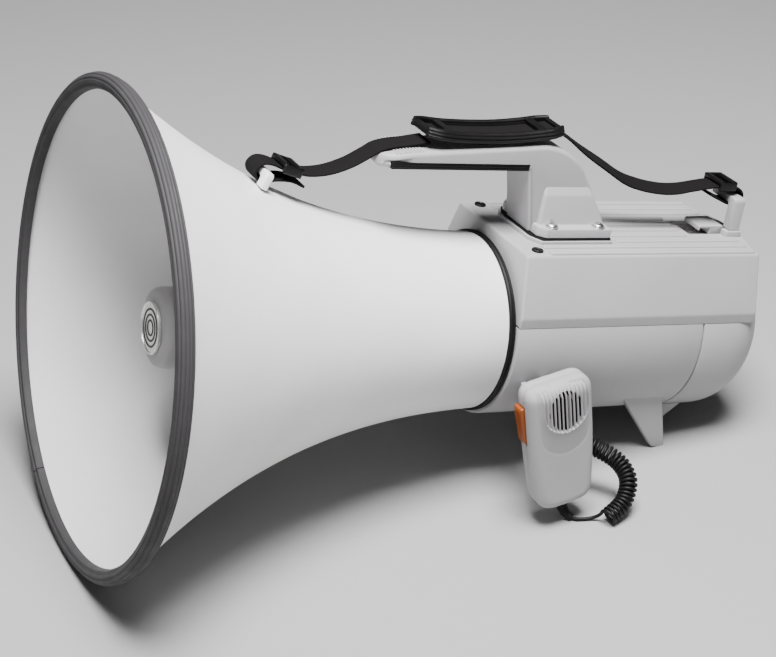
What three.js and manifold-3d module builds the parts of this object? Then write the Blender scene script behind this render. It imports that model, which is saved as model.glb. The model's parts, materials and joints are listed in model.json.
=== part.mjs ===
// Shoulder-carried megaphone with a talk handset on a curly cord, in millimetres, +Z up.
//
// The parts are drawn in the horn's own frame: the origin is the centre of the mouth, +Y runs back
// along the horn axis, +X is the side the handset hangs on and +Z is the side of the handle.
// That frame is then pitched so that the rim and the two feet stand on the plane z = 0.

import * as THREE from 'three';
import { mergeVertices } from 'three/addons/utils/BufferGeometryUtils.js';
import Module from 'manifold-3d';

const wasm = await Module();
wasm.setup();

// ---------------------------------------------------------------- driving dimensions

const GAP = 0.3; // clearance between pieces that touch

// Horn: the outer radius falls from the mouth to the neck as a power of the distance left.
const FLARE = { neckRadius: 53.3, rise: 90, length: 265, power: 2.4 };
const HORN_WALL = 2.2;
const HORN_FRONT_Y = 6.3;
const HORN_BACK_Y = 238.5;
const HORN_SEGMENTS = 48;
const RIM_RADIUS = 141.5;
const RIM_WIDEST_Y = 8.5;
const STAND_TILT = THREE.MathUtils.degToRad(10.6);

const REFLECTOR = { radius: 23, frontY: 39, backY: 150, wall: 2, corner: 6 };
const BADGE_RADIUS = 15;
const THROAT = { radius: 12.4, bore: 9.5, frontY: 52, backY: 245.8 };

// Housing: a half-round lower shell under a flared box.
const HOUSING_RADIUS = 57;
const HOUSING_WALL = 2.5;
const HOUSING_FRONT_Y = 243;
const TOP_Z = 60.2;
const TOP_HALF_WIDTH = 43.1;
const BEVEL_Z = 24.5;
const BEVEL_HALF_WIDTH = 54.6;
const PARTING_Z = 18.35;
const UPPER_BACK_Y = 413.5;
const DOOR_SEAM_Y = 376;
const DOOR_BACK_Y = 431.5;
const DOOR_FILLET = 32.5;
const DOOR_TONGUE_HALF_WIDTH = 30.6;
const DOOR_TONGUE_Y = 411;
const DRIVER_HOLE_RADIUS = 44.5;

const HINGE = { y: 376.9, z: -63, pinRadius: 1.5, knuckleRadius: 4, boreRadius: 1.75 };
const KNUCKLE_WIDTH = 8;
const HOUSING_KNUCKLE_X = 13;
const DOOR_KNUCKLE_X = 24;

const FOOT = { x: 40, width: 5, topFrontY: 335, topBackY: 366, tipFrontY: 369, tipBackY: 378.5 };

const GRIP_HALF_WIDTH = 15;
const GRIP_UNDERSIDE_Z = 101.6;
const INSERT_THICKNESS = 3.9;
const INSERT_FRONT_Y = 162.5;
const PILLAR_FRONT_Y = 252.5;
const HANDLE_BASE_Z = 63.6;
const HANDLE_BACK_Y = 312.5;
const FLANGE = { halfWidth: 26, frontY: 262.5, topZ: 69.5 };
const PLINTH_Z = 62.4;
const HANDLE_SCREWS = [[-21.8, 272], [21.8, 272], [-21.8, 304.5], [21.8, 304.5]];

const LATCH = { halfWidth: 8.5, frontY: 388, backY: 406.5, floorZ: 56.8, topZ: 65.8, sheet: 1.6 };
const LATCH_WELL = { halfWidth: 11, frontY: 381, backY: 409 };

const CELL = { radius: 12.9, length: 50 };
const CELL_COLUMNS = [[-16, -28], [16, -28], [-16, 4], [16, 4]];
const TRAY = { frontY: 290, backY: 396, halfWidth: 31.5, lowZ: -43.5, highZ: 19.5, boreRadius: 13.4 };

const STRAP_WIDTH = 15;
const STRAP_THICKNESS = 1.5;
const HOOK = { post: [9, 14.5], barEndX: -10.5, barThickness: 4.5 };

const HANDSET_TILT = THREE.MathUtils.degToRad(16.5);
const HANDSET_CENTRE = new THREE.Vector3(88.5, 263.3, -37.6);
const HANDSET = { halfDepth: 12, halfWidth: 21, halfBottom: 18, halfLength: 42, wall: 2 };
const TALK_BUTTON = { backX: -7.5, frontX: 1.2, lowZ: 4.8, highZ: 29.8 };
const GRILLE = { y: 0.5, z: 26.5, halfWidth: 10.3, halfHeight: 12, pitch: 2.45, slot: 1.2 };
const STUD_Z = 16; // height of the hanging stud above the handset's centre
const HANGER = {
  faceX: -15, backX: -41, plate: 3, leftY: -10, rightY: 10.5, lowZ: 4, highZ: 24, wall: 2.8,
};

const CORD_RADIUS = 1.15;
const RELIEF_LENGTH = 6;
const COIL_RADIUS = 6;
const GLAND_ANGLE = THREE.MathUtils.degToRad(-40);
const GLAND_Y = 286;
const GLAND_LENGTH = 8;

const CURVE_STEPS = 4;

// ---------------------------------------------------------------- materials

function plastic(color, roughness = 0.55) {
  return new THREE.MeshStandardMaterial({ color, roughness, metalness: 0 });
}

function metal(color, roughness = 0.35) {
  return new THREE.MeshStandardMaterial({ color, roughness, metalness: 1 });
}

const WHITE_SHELL = plastic(0xe6e6e4);
const HOUSING_GREY = plastic(0xb4b2b3);
const RIM_GREY = plastic(0x6e6c6e, 0.8);
const BLACK_RUBBER = plastic(0x161616, 0.85);
const BLACK_PLASTIC = plastic(0x1c1c1c, 0.5);
const BLACK_WEBBING = plastic(0x141414, 0.95);
const ORANGE_PLASTIC = plastic(0xc96a1e, 0.5);
const STEEL = metal(0xc8c8c8);
const DARK_STEEL = metal(0x5c5a5a, 0.5);
const ALUMINIUM = metal(0xb8babc, 0.4);
const COPPER_FILM = plastic(0xb5763a, 0.4);
const BOARD_GREEN = plastic(0x2c5b38, 0.6);
const CELL_JACKET = plastic(0x3a4a66, 0.35);

// ---------------------------------------------------------------- geometry helpers

function signedVolume(geometry) {
  const position = geometry.attributes.position;
  const index = geometry.index.array;
  const corners = [new THREE.Vector3(), new THREE.Vector3(), new THREE.Vector3()];
  let volume = 0;
  for (let i = 0; i < index.length; i += 3) {
    corners.forEach((corner, k) => corner.fromBufferAttribute(position, index[i + k]));
    volume += corners[0].dot(corners[1].clone().cross(corners[2])) / 6;
  }
  return volume;
}

// A closed surface with shared vertices, no collapsed triangles and its faces pointing out.
// A surface without normals comes from a boolean and is already so.
function weld(geometry) {
  if (!geometry.attributes.normal) return geometry;
  const bare = geometry.clone();
  bare.deleteAttribute('normal');
  bare.deleteAttribute('uv');
  const merged = mergeVertices(bare, 1e-4);
  const index = merged.index.array;
  const kept = [];
  for (let i = 0; i < index.length; i += 3) {
    const [a, b, c] = index.slice(i, i + 3);
    if (a !== b && b !== c && c !== a) kept.push(a, b, c);
  }
  merged.setIndex(kept);
  if (signedVolume(merged) < 0) merged.setIndex(kept.reverse());
  return merged;
}

function toSolid(geometry) {
  const welded = weld(geometry);
  return new wasm.Manifold(new wasm.Mesh({
    numProp: 3,
    vertProperties: Float32Array.from(welded.attributes.position.array),
    triVerts: Uint32Array.from(welded.index.array),
  }));
}

function fromSolid(solid) {
  const mesh = solid.getMesh();
  const geometry = new THREE.BufferGeometry();
  geometry.setAttribute('position', new THREE.BufferAttribute(new Float32Array(mesh.vertProperties), 3));
  geometry.setIndex(Array.from(mesh.triVerts));
  return geometry;
}

const combine = (operation) => (first, ...rest) =>
  fromSolid(rest.reduce((solid, geometry) => solid[operation](toSolid(geometry)), toSolid(first)));
const join = combine('add');
const cut = combine('subtract');
const common = combine('intersect');

const AXIS_X = new THREE.Vector3(1, 0, 0);
const AXIS_Y = new THREE.Vector3(0, 1, 0);
const AXIS_Z = new THREE.Vector3(0, 0, 1);

function extrude(shape, depth) {
  return new THREE.ExtrudeGeometry(shape, { depth, bevelEnabled: false, curveSegments: CURVE_STEPS });
}

// An outline in (y, z), extruded from x0 to x1.
function extrudeX(shape, x0, x1) {
  const turn = new THREE.Matrix4().makeBasis(AXIS_Y, AXIS_Z, AXIS_X);
  return extrude(shape, x1 - x0).applyMatrix4(turn).translate(x0, 0, 0);
}

// An outline in (x, z), extruded from y0 to y1.
function extrudeY(shape, y0, y1) {
  const turn = new THREE.Matrix4().makeBasis(AXIS_X, AXIS_Z, AXIS_Y.clone().negate());
  return extrude(shape, y1 - y0).applyMatrix4(turn).translate(0, y1, 0);
}

// An outline in (x, y), extruded from z0 to z1.
function extrudeZ(shape, z0, z1) {
  return extrude(shape, z1 - z0).translate(0, 0, z0);
}

function box(x0, x1, y0, y1, z0, z1) {
  return new THREE.BoxGeometry(x1 - x0, y1 - y0, z1 - z0)
    .translate((x0 + x1) / 2, (y0 + y1) / 2, (z0 + z1) / 2);
}

// A solid turned about the Y axis from [radius, y] points, with a flat facet facing down.
function turned(profile, segments = HORN_SEGMENTS) {
  const points = profile.map(([radius, y]) => new THREE.Vector2(radius, y));
  const onAxis = profile[0][0] === 0 && profile[profile.length - 1][0] === 0;
  if (!onAxis) points.push(points[0].clone());
  return new THREE.LatheGeometry(points, segments, Math.PI / segments);
}

const rodY = (radius, y0, y1, segments = 24) =>
  new THREE.CylinderGeometry(radius, radius, y1 - y0, segments).translate(0, (y0 + y1) / 2, 0);
const rodX = (radius, x0, x1, segments = 16) =>
  new THREE.CylinderGeometry(radius, radius, x1 - x0, segments).rotateZ(Math.PI / 2)
    .translate((x0 + x1) / 2, 0, 0);
const rodZ = (radius, z0, z1, segments = 24, topRadius = radius) =>
  new THREE.CylinderGeometry(topRadius, radius, z1 - z0, segments).rotateX(Math.PI / 2)
    .translate(0, 0, (z0 + z1) / 2);

function polygon(points) {
  return new THREE.Shape(points.map(([u, v]) => new THREE.Vector2(u, v)));
}

// A closed outline from [u, v, size] corners, where size is how far back each corner is rounded.
function rounded(corners) {
  const shape = new THREE.Shape();
  corners.forEach(([u, v, size = 0], i) => {
    const corner = new THREE.Vector2(u, v);
    const [before, after] = [-1, 1].map((step) => {
      const [nu, nv] = corners[(i + step + corners.length) % corners.length];
      return new THREE.Vector2(nu, nv).sub(corner).setLength(size).add(corner);
    });
    if (i === 0) shape.moveTo(before.x, before.y);
    else shape.lineTo(before.x, before.y);
    if (size > 0) shape.quadraticCurveTo(u, v, after.x, after.y);
  });
  return shape;
}

const mirrored = (points) => [...points, ...points.map(([u, ...rest]) => [-u, ...rest]).reverse()];

// A band of even thickness along a smooth path of [y, z] points.
function band(path, thickness, steps) {
  const curve = new THREE.SplineCurve(path.map(([u, v]) => new THREE.Vector2(u, v)));
  const sides = [1, -1].map((side) => Array.from({ length: steps + 1 }, (_, i) => {
    const normal = curve.getTangentAt(i / steps).rotateAround(new THREE.Vector2(), Math.PI / 2);
    return curve.getPointAt(i / steps).addScaledVector(normal, (side * thickness) / 2);
  }));
  return new THREE.Shape([...sides[0], ...sides[1].reverse()]);
}

function tube(points, radius, steps, sides) {
  const circle = new THREE.Shape(Array.from({ length: sides }, (_, i) => {
    const angle = (2 * Math.PI * i) / sides;
    return new THREE.Vector2(Math.cos(angle), Math.sin(angle)).multiplyScalar(radius);
  }));
  const extrudePath = new THREE.CatmullRomCurve3(points);
  return new THREE.ExtrudeGeometry(circle, { steps, bevelEnabled: false, extrudePath });
}

function part(name, geometry, material) {
  const mesh = new THREE.Mesh(weld(geometry), material);
  mesh.name = name;
  return mesh;
}

function placed(mesh, x, y, z) {
  mesh.position.set(x, y, z);
  return mesh;
}

// ---------------------------------------------------------------- horn

function hornRadius(y) {
  return FLARE.neckRadius + FLARE.rise * (1 - y / FLARE.length) ** FLARE.power;
}

function hornSlope(y) {
  return (-FLARE.rise * FLARE.power / FLARE.length) * (1 - y / FLARE.length) ** (FLARE.power - 1);
}

function hornBell() {
  const steps = 9;
  const stations = Array.from({ length: steps + 1 }, (_, i) =>
    HORN_FRONT_Y + (HORN_BACK_Y - HORN_FRONT_Y) * (i / steps) ** 1.3);
  const outside = stations.map((y) => [hornRadius(y), y]);
  const insideRadius = (y) => hornRadius(y) - HORN_WALL * Math.hypot(1, hornSlope(y));
  const inside = stations.slice(0, -1).map((y) => [insideRadius(y), y]);
  const flangeFront = HORN_BACK_Y - 2.5;
  const flange = [[46, HORN_BACK_Y], [46, flangeFront], [hornRadius(HORN_BACK_Y) - HORN_WALL, flangeFront]];
  return part('horn_bell', turned([...outside, ...flange, ...inside.reverse()]), WHITE_SHELL);
}

function rimEdging() {
  const lipInner = hornRadius(HORN_FRONT_Y) + 0.8;
  const profile = [
    [132.5, HORN_FRONT_Y - GAP], [132.5, 3.4], [134.5, 1], [137.5, 0], [140.2, 1.2],
    [RIM_RADIUS, 4], [RIM_RADIUS, RIM_WIDEST_Y], [lipInner + 1, 10], [lipInner, 10],
    [lipInner, HORN_FRONT_Y - GAP],
  ];
  return part('rim_edging', turned(profile), RIM_GREY);
}

function hornBackPlate() {
  const bore = THROAT.radius + GAP;
  const profile = [[bore, 233.2], [50.6, 233.2], [50.6, 235.7], [bore, 235.7]];
  return part('horn_back_plate', turned(profile, 32), WHITE_SHELL);
}

function throatTube() {
  const { radius, bore, frontY, backY } = THROAT;
  const profile = [[bore - 1, frontY], [radius - 1, frontY], [radius, 100], [radius, backY], [bore, backY]];
  return part('throat_tube', turned(profile, 24), WHITE_SHELL);
}

function reflectorCup() {
  const { radius, frontY, backY, wall, corner } = REFLECTOR;
  const cup = turned([
    [0, frontY], [radius - corner, frontY], [radius - 1.8, frontY + 1.8], [radius, frontY + corner],
    [radius, backY], [radius - wall, backY], [radius - wall, frontY + corner],
    [radius - corner, frontY + wall], [0, frontY + wall],
  ], 32);
  const fins = [0, 1, 2].map((i) => box(-1, 1, 90, 140, THROAT.radius + GAP, radius - 1)
    .rotateY((i * 2 * Math.PI) / 3));
  return part('reflector_cup', join(cup, ...fins), HOUSING_GREY);
}

function badgeDisc() {
  const y = REFLECTOR.frontY - GAP;
  return part('badge_disc', rodY(BADGE_RADIUS, y - 1.3, y, 32), ALUMINIUM);
}

function neckRing() {
  const [front, back] = [HORN_BACK_Y + GAP, HOUSING_FRONT_Y - GAP];
  const profile = [[47, front], [55.2, front], [55.2, back], [47, back]];
  return part('neck_ring', turned(profile, 48), BLACK_RUBBER);
}

// A hook for a strap loop: a post at one side and a bar across to a free end.
function strapHook(name, height, depth, material) {
  const [postX0, postX1] = HOOK.post;
  const post = box(postX0, postX1, -depth / 2, depth / 2, 0, height);
  const bar = box(HOOK.barEndX, postX1, -depth / 2, depth / 2, height - HOOK.barThickness, height);
  return part(name, join(post, bar), material);
}

function frontStrapHook() {
  const y = 86;
  const mesh = strapHook('front_strap_hook', 9.6, 6, WHITE_SHELL);
  mesh.rotation.x = Math.atan(hornSlope(y));
  return placed(mesh, 0, y, hornRadius(y) + 0.4);
}

function rearStrapHook() {
  return placed(strapHook('rear_strap_hook', 20.7, 8.4, HOUSING_GREY), 0, 411.8, 64.3);
}

// ---------------------------------------------------------------- driver

function driverFrontPlate() {
  const y = HOUSING_FRONT_Y + HOUSING_WALL + 0.6;
  const plate = turned([[THROAT.bore, y], [50, y], [50, y + 4], [THROAT.bore, y + 4]], 32);
  return part('driver_front_plate', plate, ALUMINIUM);
}

function driverMagnet() {
  const y = 250.4;
  const profile = [[0, 262], [28, 262], [28, y], [38, y], [38, 284], [0, 284]];
  return part('driver_magnet', turned(profile, 32), DARK_STEEL);
}

function driverDiaphragm() {
  const profile = [
    [0, 252.4], [14, 253.6], [24, 257], [26.5, 257],
    [26.5, 258], [23.5, 258], [13.6, 254.6], [0, 253.4],
  ];
  return part('driver_diaphragm', turned(profile, 24), COPPER_FILM);
}

// ---------------------------------------------------------------- housing

function housingSection(inset) {
  return polygon(mirrored([
    [53.9 - inset, PARTING_Z + 0.15 - inset], [BEVEL_HALF_WIDTH - inset, BEVEL_Z],
    [TOP_HALF_WIDTH - inset * 0.75, TOP_Z - inset],
  ]));
}

function topRibs() {
  const beside = [-40, -31, 31, 40].map((x) => box(x - 2.2, x + 2.2, 268, 410.5, TOP_Z - 1, TOP_Z + 1.2));
  const behind = [4.5, 13.5, 22.5].flatMap((x) => [x, -x])
    .map((x) => box(x - 2.2, x + 2.2, 321, 372, TOP_Z - 1, TOP_Z + 1.2));
  return [...beside, ...behind];
}

// The outline under the handle: the pillar's front and the screw flange, with its front corners cut.
function handleFoot(margin) {
  return polygon(mirrored([
    [17 + margin, 260.5 - margin], [FLANGE.halfWidth + margin, FLANGE.frontY + 3 - margin],
    [FLANGE.halfWidth + margin, HANDLE_BACK_Y + margin],
  ]));
}

// The sloping side face that the controls sit on, as a frame with +Z pointing out of the face.
function controlSide() {
  const rise = TOP_Z - BEVEL_Z;
  const run = BEVEL_HALF_WIDTH - TOP_HALF_WIDTH;
  return {
    x: -(BEVEL_HALF_WIDTH + TOP_HALF_WIDTH) / 2,
    z: (TOP_Z + BEVEL_Z) / 2,
    turn: -Math.atan2(rise, run),
    volumeY: 335,
    sirenY: 297,
    jackY: 372,
  };
}

const onControlSide = controlSide();

function throughControlSide(geometry, y) {
  return geometry.rotateY(onControlSide.turn).translate(onControlSide.x, y, onControlSide.z);
}

function upperHousing() {
  const slantedFront = polygon([
    [HOUSING_FRONT_Y, 10], [HOUSING_FRONT_Y, PARTING_Z], [245.4, TOP_Z],
    [245.4, 70], [430, 70], [430, 10],
  ]);
  const block = extrudeY(housingSection(0), HOUSING_FRONT_Y, UPPER_BACK_Y);
  const outside = common(block, extrudeX(slantedFront, -60, 60));
  const shell = cut(
    outside,
    extrudeY(housingSection(HOUSING_WALL), 248.2, UPPER_BACK_Y - HOUSING_WALL),
    rodY(DRIVER_HOLE_RADIUS, 240, 250, 32),
    rodY(50.5, HOUSING_FRONT_Y + HOUSING_WALL, 262, 32),
    box(-DOOR_TONGUE_HALF_WIDTH - GAP, DOOR_TONGUE_HALF_WIDTH + GAP, 405, 420, 10, TOP_Z - HOUSING_WALL),
  );
  const backBulge = rounded(mirrored([[36, 409], [36, UPPER_BACK_Y], [11, 421.3, 6]]));
  const top = join(
    shell,
    extrudeZ(backBulge, TOP_Z - HOUSING_WALL, TOP_Z),
    extrudeZ(handleFoot(1.5), TOP_Z - 1, PLINTH_Z),
    box(7, 16.5, 405, 417, TOP_Z - 1, 64),
    ...topRibs(),
  );
  const { halfWidth, frontY, backY } = LATCH_WELL;
  const well = box(-halfWidth, halfWidth, frontY, backY, 50, 70);
  const controlHoles = [
    throughControlSide(rodZ(3.9, -8, 8, 16), onControlSide.volumeY),
    throughControlSide(box(-2.2, 2.2, -3.2, 9.4, -8, 8), onControlSide.sirenY),
  ];
  return part('upper_housing', cut(top, well, ...controlHoles), HOUSING_GREY);
}

// A hinge ear: a ring around the pin, with a web up to the shell above it. The web's root runs from
// the seam side to the far side.
function knuckle(x, seamY, farY) {
  const { y, z, knuckleRadius, boreRadius } = HINGE;
  const [x0, x1] = [x - KNUCKLE_WIDTH / 2, x + KNUCKLE_WIDTH / 2];
  const ringFarY = y + Math.sign(farY - seamY) * knuckleRadius * 0.8;
  const web = polygon([[seamY, z], [seamY, -47], [farY, -47], [ringFarY, z]]);
  const body = join(extrudeX(web, x0, x1), rodX(knuckleRadius, x0, x1).translate(0, y, z));
  const bore = rodX(boreRadius, x0 - 1, x1 + 1, 16).translate(0, y, z);
  return cut(body, bore, rodY(HOUSING_RADIUS - 1, 300, 420, 48));
}

function lowerHousing() {
  const shell = cut(
    rodY(HOUSING_RADIUS, HOUSING_FRONT_Y, DOOR_SEAM_Y, 36),
    rodY(HOUSING_RADIUS - HOUSING_WALL, HOUSING_FRONT_Y + HOUSING_WALL, 400, 36),
    rodY(DRIVER_HOLE_RADIUS, 240, 250, 32),
    box(-60, 60, 240, 380, PARTING_Z - 0.15, 60),
  );
  const ears = [-1, 1].map((side) => knuckle(side * HOUSING_KNUCKLE_X, DOOR_SEAM_Y - 0.2, 364));
  return part('lower_housing', join(shell, ...ears), HOUSING_GREY);
}

function doorProfile(inset) {
  const steps = 6;
  const fillet = DOOR_FILLET - inset;
  const rim = HOUSING_RADIUS - DOOR_FILLET;
  const arc = Array.from({ length: steps + 1 }, (_, i) => {
    const angle = (i / steps) * (Math.PI / 2);
    return [rim + fillet * Math.cos(angle), DOOR_BACK_Y - DOOR_FILLET + fillet * Math.sin(angle)];
  });
  const seamY = DOOR_SEAM_Y + 0.35 - inset;
  return [[0, seamY], [HOUSING_RADIUS - inset, seamY], ...arc, [0, DOOR_BACK_Y - inset]];
}

function rearDoor() {
  const below = box(-70, 70, 360, 450, -70, PARTING_Z - 0.15);
  const behindUpperHousing = box(-70, 70, UPPER_BACK_Y + GAP, 450, PARTING_Z - 2.65, PARTING_Z - 0.15);
  const tongueOutside = polygon([
    [DOOR_TONGUE_Y, 5], [DOOR_TONGUE_Y, 57.3], [419.5, 57.3], [421.5, 55.3],
    [427.5, 38], [431.2, 20], [431.2, 5],
  ]);
  const tongueInside = polygon([
    [400, 0], [400, 54.8], [418.2, 54.8], [424.9, 37.6], [428.7, 19.6], [428.7, 0],
  ]);
  const half = DOOR_TONGUE_HALF_WIDTH;
  const body = join(common(turned(doorProfile(0), 36), below), extrudeX(tongueOutside, -half, half));
  const hollow = common(turned(doorProfile(HOUSING_WALL), 36), below);
  const ledge = common(turned(doorProfile(1), 36), behindUpperHousing);
  const behindTongue = extrudeX(tongueInside, HOUSING_WALL - half, half - HOUSING_WALL);
  const shell = cut(join(cut(body, hollow), ledge), behindTongue);
  const ears = [-1, 1].map((side) => knuckle(side * DOOR_KNUCKLE_X, DOOR_SEAM_Y + 0.6, 394));
  return part('rear_door', join(shell, ...ears), HOUSING_GREY);
}

function hingePin() {
  return placed(part('door_hinge_pin', rodX(HINGE.pinRadius, -29, 29, 12), STEEL), 0, HINGE.y, HINGE.z);
}

// The plane the megaphone stands on, in the horn's frame: it touches the rim's lowest facet.
function standHeight(y) {
  const rimLow = RIM_RADIUS * Math.cos(Math.PI / HORN_SEGMENTS);
  return (y - RIM_WIDEST_Y) * Math.tan(STAND_TILT) - rimLow;
}

function foot(name, side) {
  const { x, width, topFrontY, topBackY, tipFrontY, tipBackY } = FOOT;
  const fin = rounded([
    [topFrontY, -34], [tipFrontY, standHeight(tipFrontY), 1.5], [tipBackY, standHeight(tipBackY), 1.5],
    [topBackY, -44], [topBackY, -34],
  ]);
  const blade = extrudeX(fin, side * x - width / 2, side * x + width / 2);
  return part(name, cut(blade, rodY(HOUSING_RADIUS + 0.35, 330, 400, 48)), HOUSING_GREY);
}

function doorLatch() {
  const { halfWidth, frontY, backY, floorZ, topZ, sheet } = LATCH;
  const hook = polygon([
    [frontY, floorZ], [backY, floorZ], [backY, topZ], [frontY, topZ], [frontY, topZ - sheet - 1.2],
    [frontY + sheet, topZ - sheet - 1.2], [frontY + sheet, topZ - sheet], [backY - 2, topZ - sheet],
    [backY - 2, floorZ + sheet], [frontY, floorZ + sheet],
  ]);
  return part('door_latch', extrudeX(hook, -halfWidth, halfWidth), HOUSING_GREY);
}

function latchFloor() {
  return part('latch_floor', box(-15, 15, 377, 410.4, 55.2, 56.4), DARK_STEEL);
}

// ---------------------------------------------------------------- handle

function handleSide() {
  const insertTop = GRIP_UNDERSIDE_Z + INSERT_THICKNESS + GAP;
  return rounded([
    [HANDLE_BACK_Y, HANDLE_BASE_Z], [HANDLE_BACK_Y, 71, 2], [297, 94, 4], [287, 108.5, 6], [268, 117.8, 8],
    [231, 115.2, 10], [172, 111.2, 6], [157.5, 108.7, 3], [156.5, 102.2, 2.6], [161.5, GRIP_UNDERSIDE_Z],
    [162.1, insertTop], [PILLAR_FRONT_Y + 0.4, insertTop],
    [PILLAR_FRONT_Y + 0.4, GRIP_UNDERSIDE_Z], [261.5, HANDLE_BASE_Z],
  ]);
}

function handle() {
  const spine = extrudeX(handleSide(), -GRIP_HALF_WIDTH, GRIP_HALF_WIDTH);
  const crown = rounded(mirrored([[GRIP_HALF_WIDTH, HANDLE_BASE_Z], [GRIP_HALF_WIDTH, 120, 4.5]]));
  const nose = rounded(mirrored([[GRIP_HALF_WIDTH, 320], [GRIP_HALF_WIDTH, 156, 11]]));
  const bossSection = polygon(mirrored([
    [FLANGE.halfWidth, HANDLE_BASE_Z], [FLANGE.halfWidth, FLANGE.topZ - 1],
    [FLANGE.halfWidth - 1, FLANGE.topZ],
    [18, FLANGE.topZ], [18, 88], [GRIP_HALF_WIDTH - 1, 92.5],
  ]));
  const bossOutline = polygon([
    [FLANGE.frontY, 60], [FLANGE.frontY, 93], [296.5, 93], [HANDLE_BACK_Y - 0.5, 71], [HANDLE_BACK_Y, 60],
  ]);
  const boss = common(extrudeY(bossSection, FLANGE.frontY, HANDLE_BACK_Y), extrudeX(bossOutline, -30, 30));
  const pocket = box(-11, 11, 268, 296, 60, 92);
  const screwHoles = HANDLE_SCREWS.map(([x, y]) => rodZ(1.9, 60, 75, 12).translate(x, y, 0));
  const grip = common(spine, extrudeY(crown, 150, 320), extrudeZ(nose, HANDLE_BASE_Z - 1, 125));
  const body = join(grip, boss);
  return part('handle', cut(body, pocket, ...screwHoles), HOUSING_GREY);
}

function gripInsert() {
  const insertTop = GRIP_UNDERSIDE_Z + INSERT_THICKNESS;
  const insert = box(-14.6, 14.6, INSERT_FRONT_Y, PILLAR_FRONT_Y, GRIP_UNDERSIDE_Z, insertTop);
  return part('grip_insert', insert, BLACK_RUBBER);
}

function handleGasket() {
  const sheet = extrudeZ(handleFoot(0.4), PLINTH_Z + GAP, HANDLE_BASE_Z - GAP);
  const holes = HANDLE_SCREWS.map(([x, y]) => rodZ(1.9, 60, 70, 12).translate(x, y, 0));
  return part('handle_gasket', cut(sheet, ...holes), BLACK_RUBBER);
}

// A pan-head screw with a cross recess: the head's underside is at z = 0.
function screw(name, headRadius, headHeight, shankRadius, shankLength, material) {
  const head = rodZ(headRadius, 0, headHeight, 16, headRadius * 0.85);
  const shank = rodZ(shankRadius, -shankLength, 0.2, 10);
  const slots = [0, Math.PI / 2].map((turn) =>
    box(-headRadius * 0.55, headRadius * 0.55, -0.5, 0.5, headHeight - 0.8, headHeight + 1).rotateZ(turn));
  return part(name, cut(join(head, shank), ...slots), material);
}

function handleScrews() {
  return HANDLE_SCREWS.map(([x, y], i) =>
    placed(screw(`handle_screw_${i + 1}`, 3.6, 2, 1.6, 6.5, STEEL), x, y, FLANGE.topZ + GAP));
}

function housingScrews() {
  return [-1, 1].map((side) => {
    const name = side < 0 ? 'housing_screw_left' : 'housing_screw_right';
    return placed(part(name, rodZ(3.4, 0, 1.2, 16), BLACK_PLASTIC), side * 36.2, 256, TOP_Z + GAP);
  });
}

// ---------------------------------------------------------------- inside the housing

function traySection(margin) {
  const { halfWidth, lowZ, highZ } = TRAY;
  const side = halfWidth - margin;
  return rounded(mirrored([[side, lowZ + margin, 11], [side, highZ - margin, 5]]));
}

function batteryTray() {
  const { boreRadius, frontY, backY } = TRAY;
  const bores = CELL_COLUMNS.map(([x, z]) => rodY(boreRadius, frontY + 2, backY + 1, 24).translate(x, 0, z));
  return part('battery_tray', cut(extrudeY(traySection(0), frontY, backY), ...bores), BLACK_PLASTIC);
}

function batteryLid() {
  const plate = extrudeY(traySection(0.5), TRAY.backY + GAP, TRAY.backY + 2.3);
  return part('battery_contact_plate', plate, DARK_STEEL);
}

function batteryCells() {
  const { radius, length } = CELL;
  const shoulder = length - 1.8;
  const profile = [[0, 0], [radius, 0], [radius, shoulder], [3, shoulder], [3, length], [0, length]];
  return CELL_COLUMNS.flatMap(([x, z], column) => [0, 1].map((row) => {
    const y = TRAY.frontY + 2 + GAP + row * (length + GAP);
    return placed(part(`battery_cell_${column * 2 + row + 1}`, turned(profile, 14), CELL_JACKET), x, y, z);
  }));
}

function amplifierBoard() {
  return part('amplifier_board', box(-44, 44, 300, 392, 26, 27.6), BOARD_GREEN);
}

function heatsink() {
  const [left, right, base, top] = [-16, 34, 27.9, 47];
  const plate = box(left, right, 318, 370, base, base + 3);
  const fins = Array.from({ length: 7 }, (_, i) => {
    const x = left + i * 8;
    return box(x, x + 2, 318, 370, base, top);
  });
  return part('heatsink', join(plate, ...fins), ALUMINIUM);
}

// ---------------------------------------------------------------- controls

function volumePot() {
  const can = rodZ(8, -14, -2.9, 20);
  const bush = rodZ(3.5, -3, 0.4, 16);
  const shaft = rodZ(2.9, 0, 9, 12);
  return part('volume_pot', join(can, bush, shaft), ALUMINIUM);
}

function volumeKnob() {
  const cap = cut(rodZ(11, 0.8, 13, 24, 10), rodZ(3.2, 0, 9.4, 16));
  const pointer = box(-0.9, 0.9, 3, 10.3, 12, 13.8);
  return part('volume_knob', join(cap, pointer), BLACK_PLASTIC);
}

function sirenSwitch() {
  const cap = box(-3.6, 3.6, -5, 5, 0.4, 4.6);
  const stem = box(-1.8, 1.8, -2.8, 2.8, -5, 0.6);
  return part('siren_switch', join(cap, stem), ORANGE_PLASTIC);
}

function jackCover() {
  return part('jack_cover', rodZ(7, GAP, 2.8, 20, 6), BLACK_RUBBER);
}

function controls() {
  const group = new THREE.Group();
  group.position.set(onControlSide.x, 0, onControlSide.z);
  group.rotation.y = onControlSide.turn;
  group.add(
    placed(volumePot(), 0, onControlSide.volumeY, 0),
    placed(volumeKnob(), 0, onControlSide.volumeY, 0),
    placed(sirenSwitch(), 0, onControlSide.sirenY, 0),
    placed(jackCover(), 0, onControlSide.jackY, 0),
  );
  return group;
}

// ---------------------------------------------------------------- handset, in its own frame
// +Z runs up the handset, +X out of its grille and +Y away from the talk button.

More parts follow.
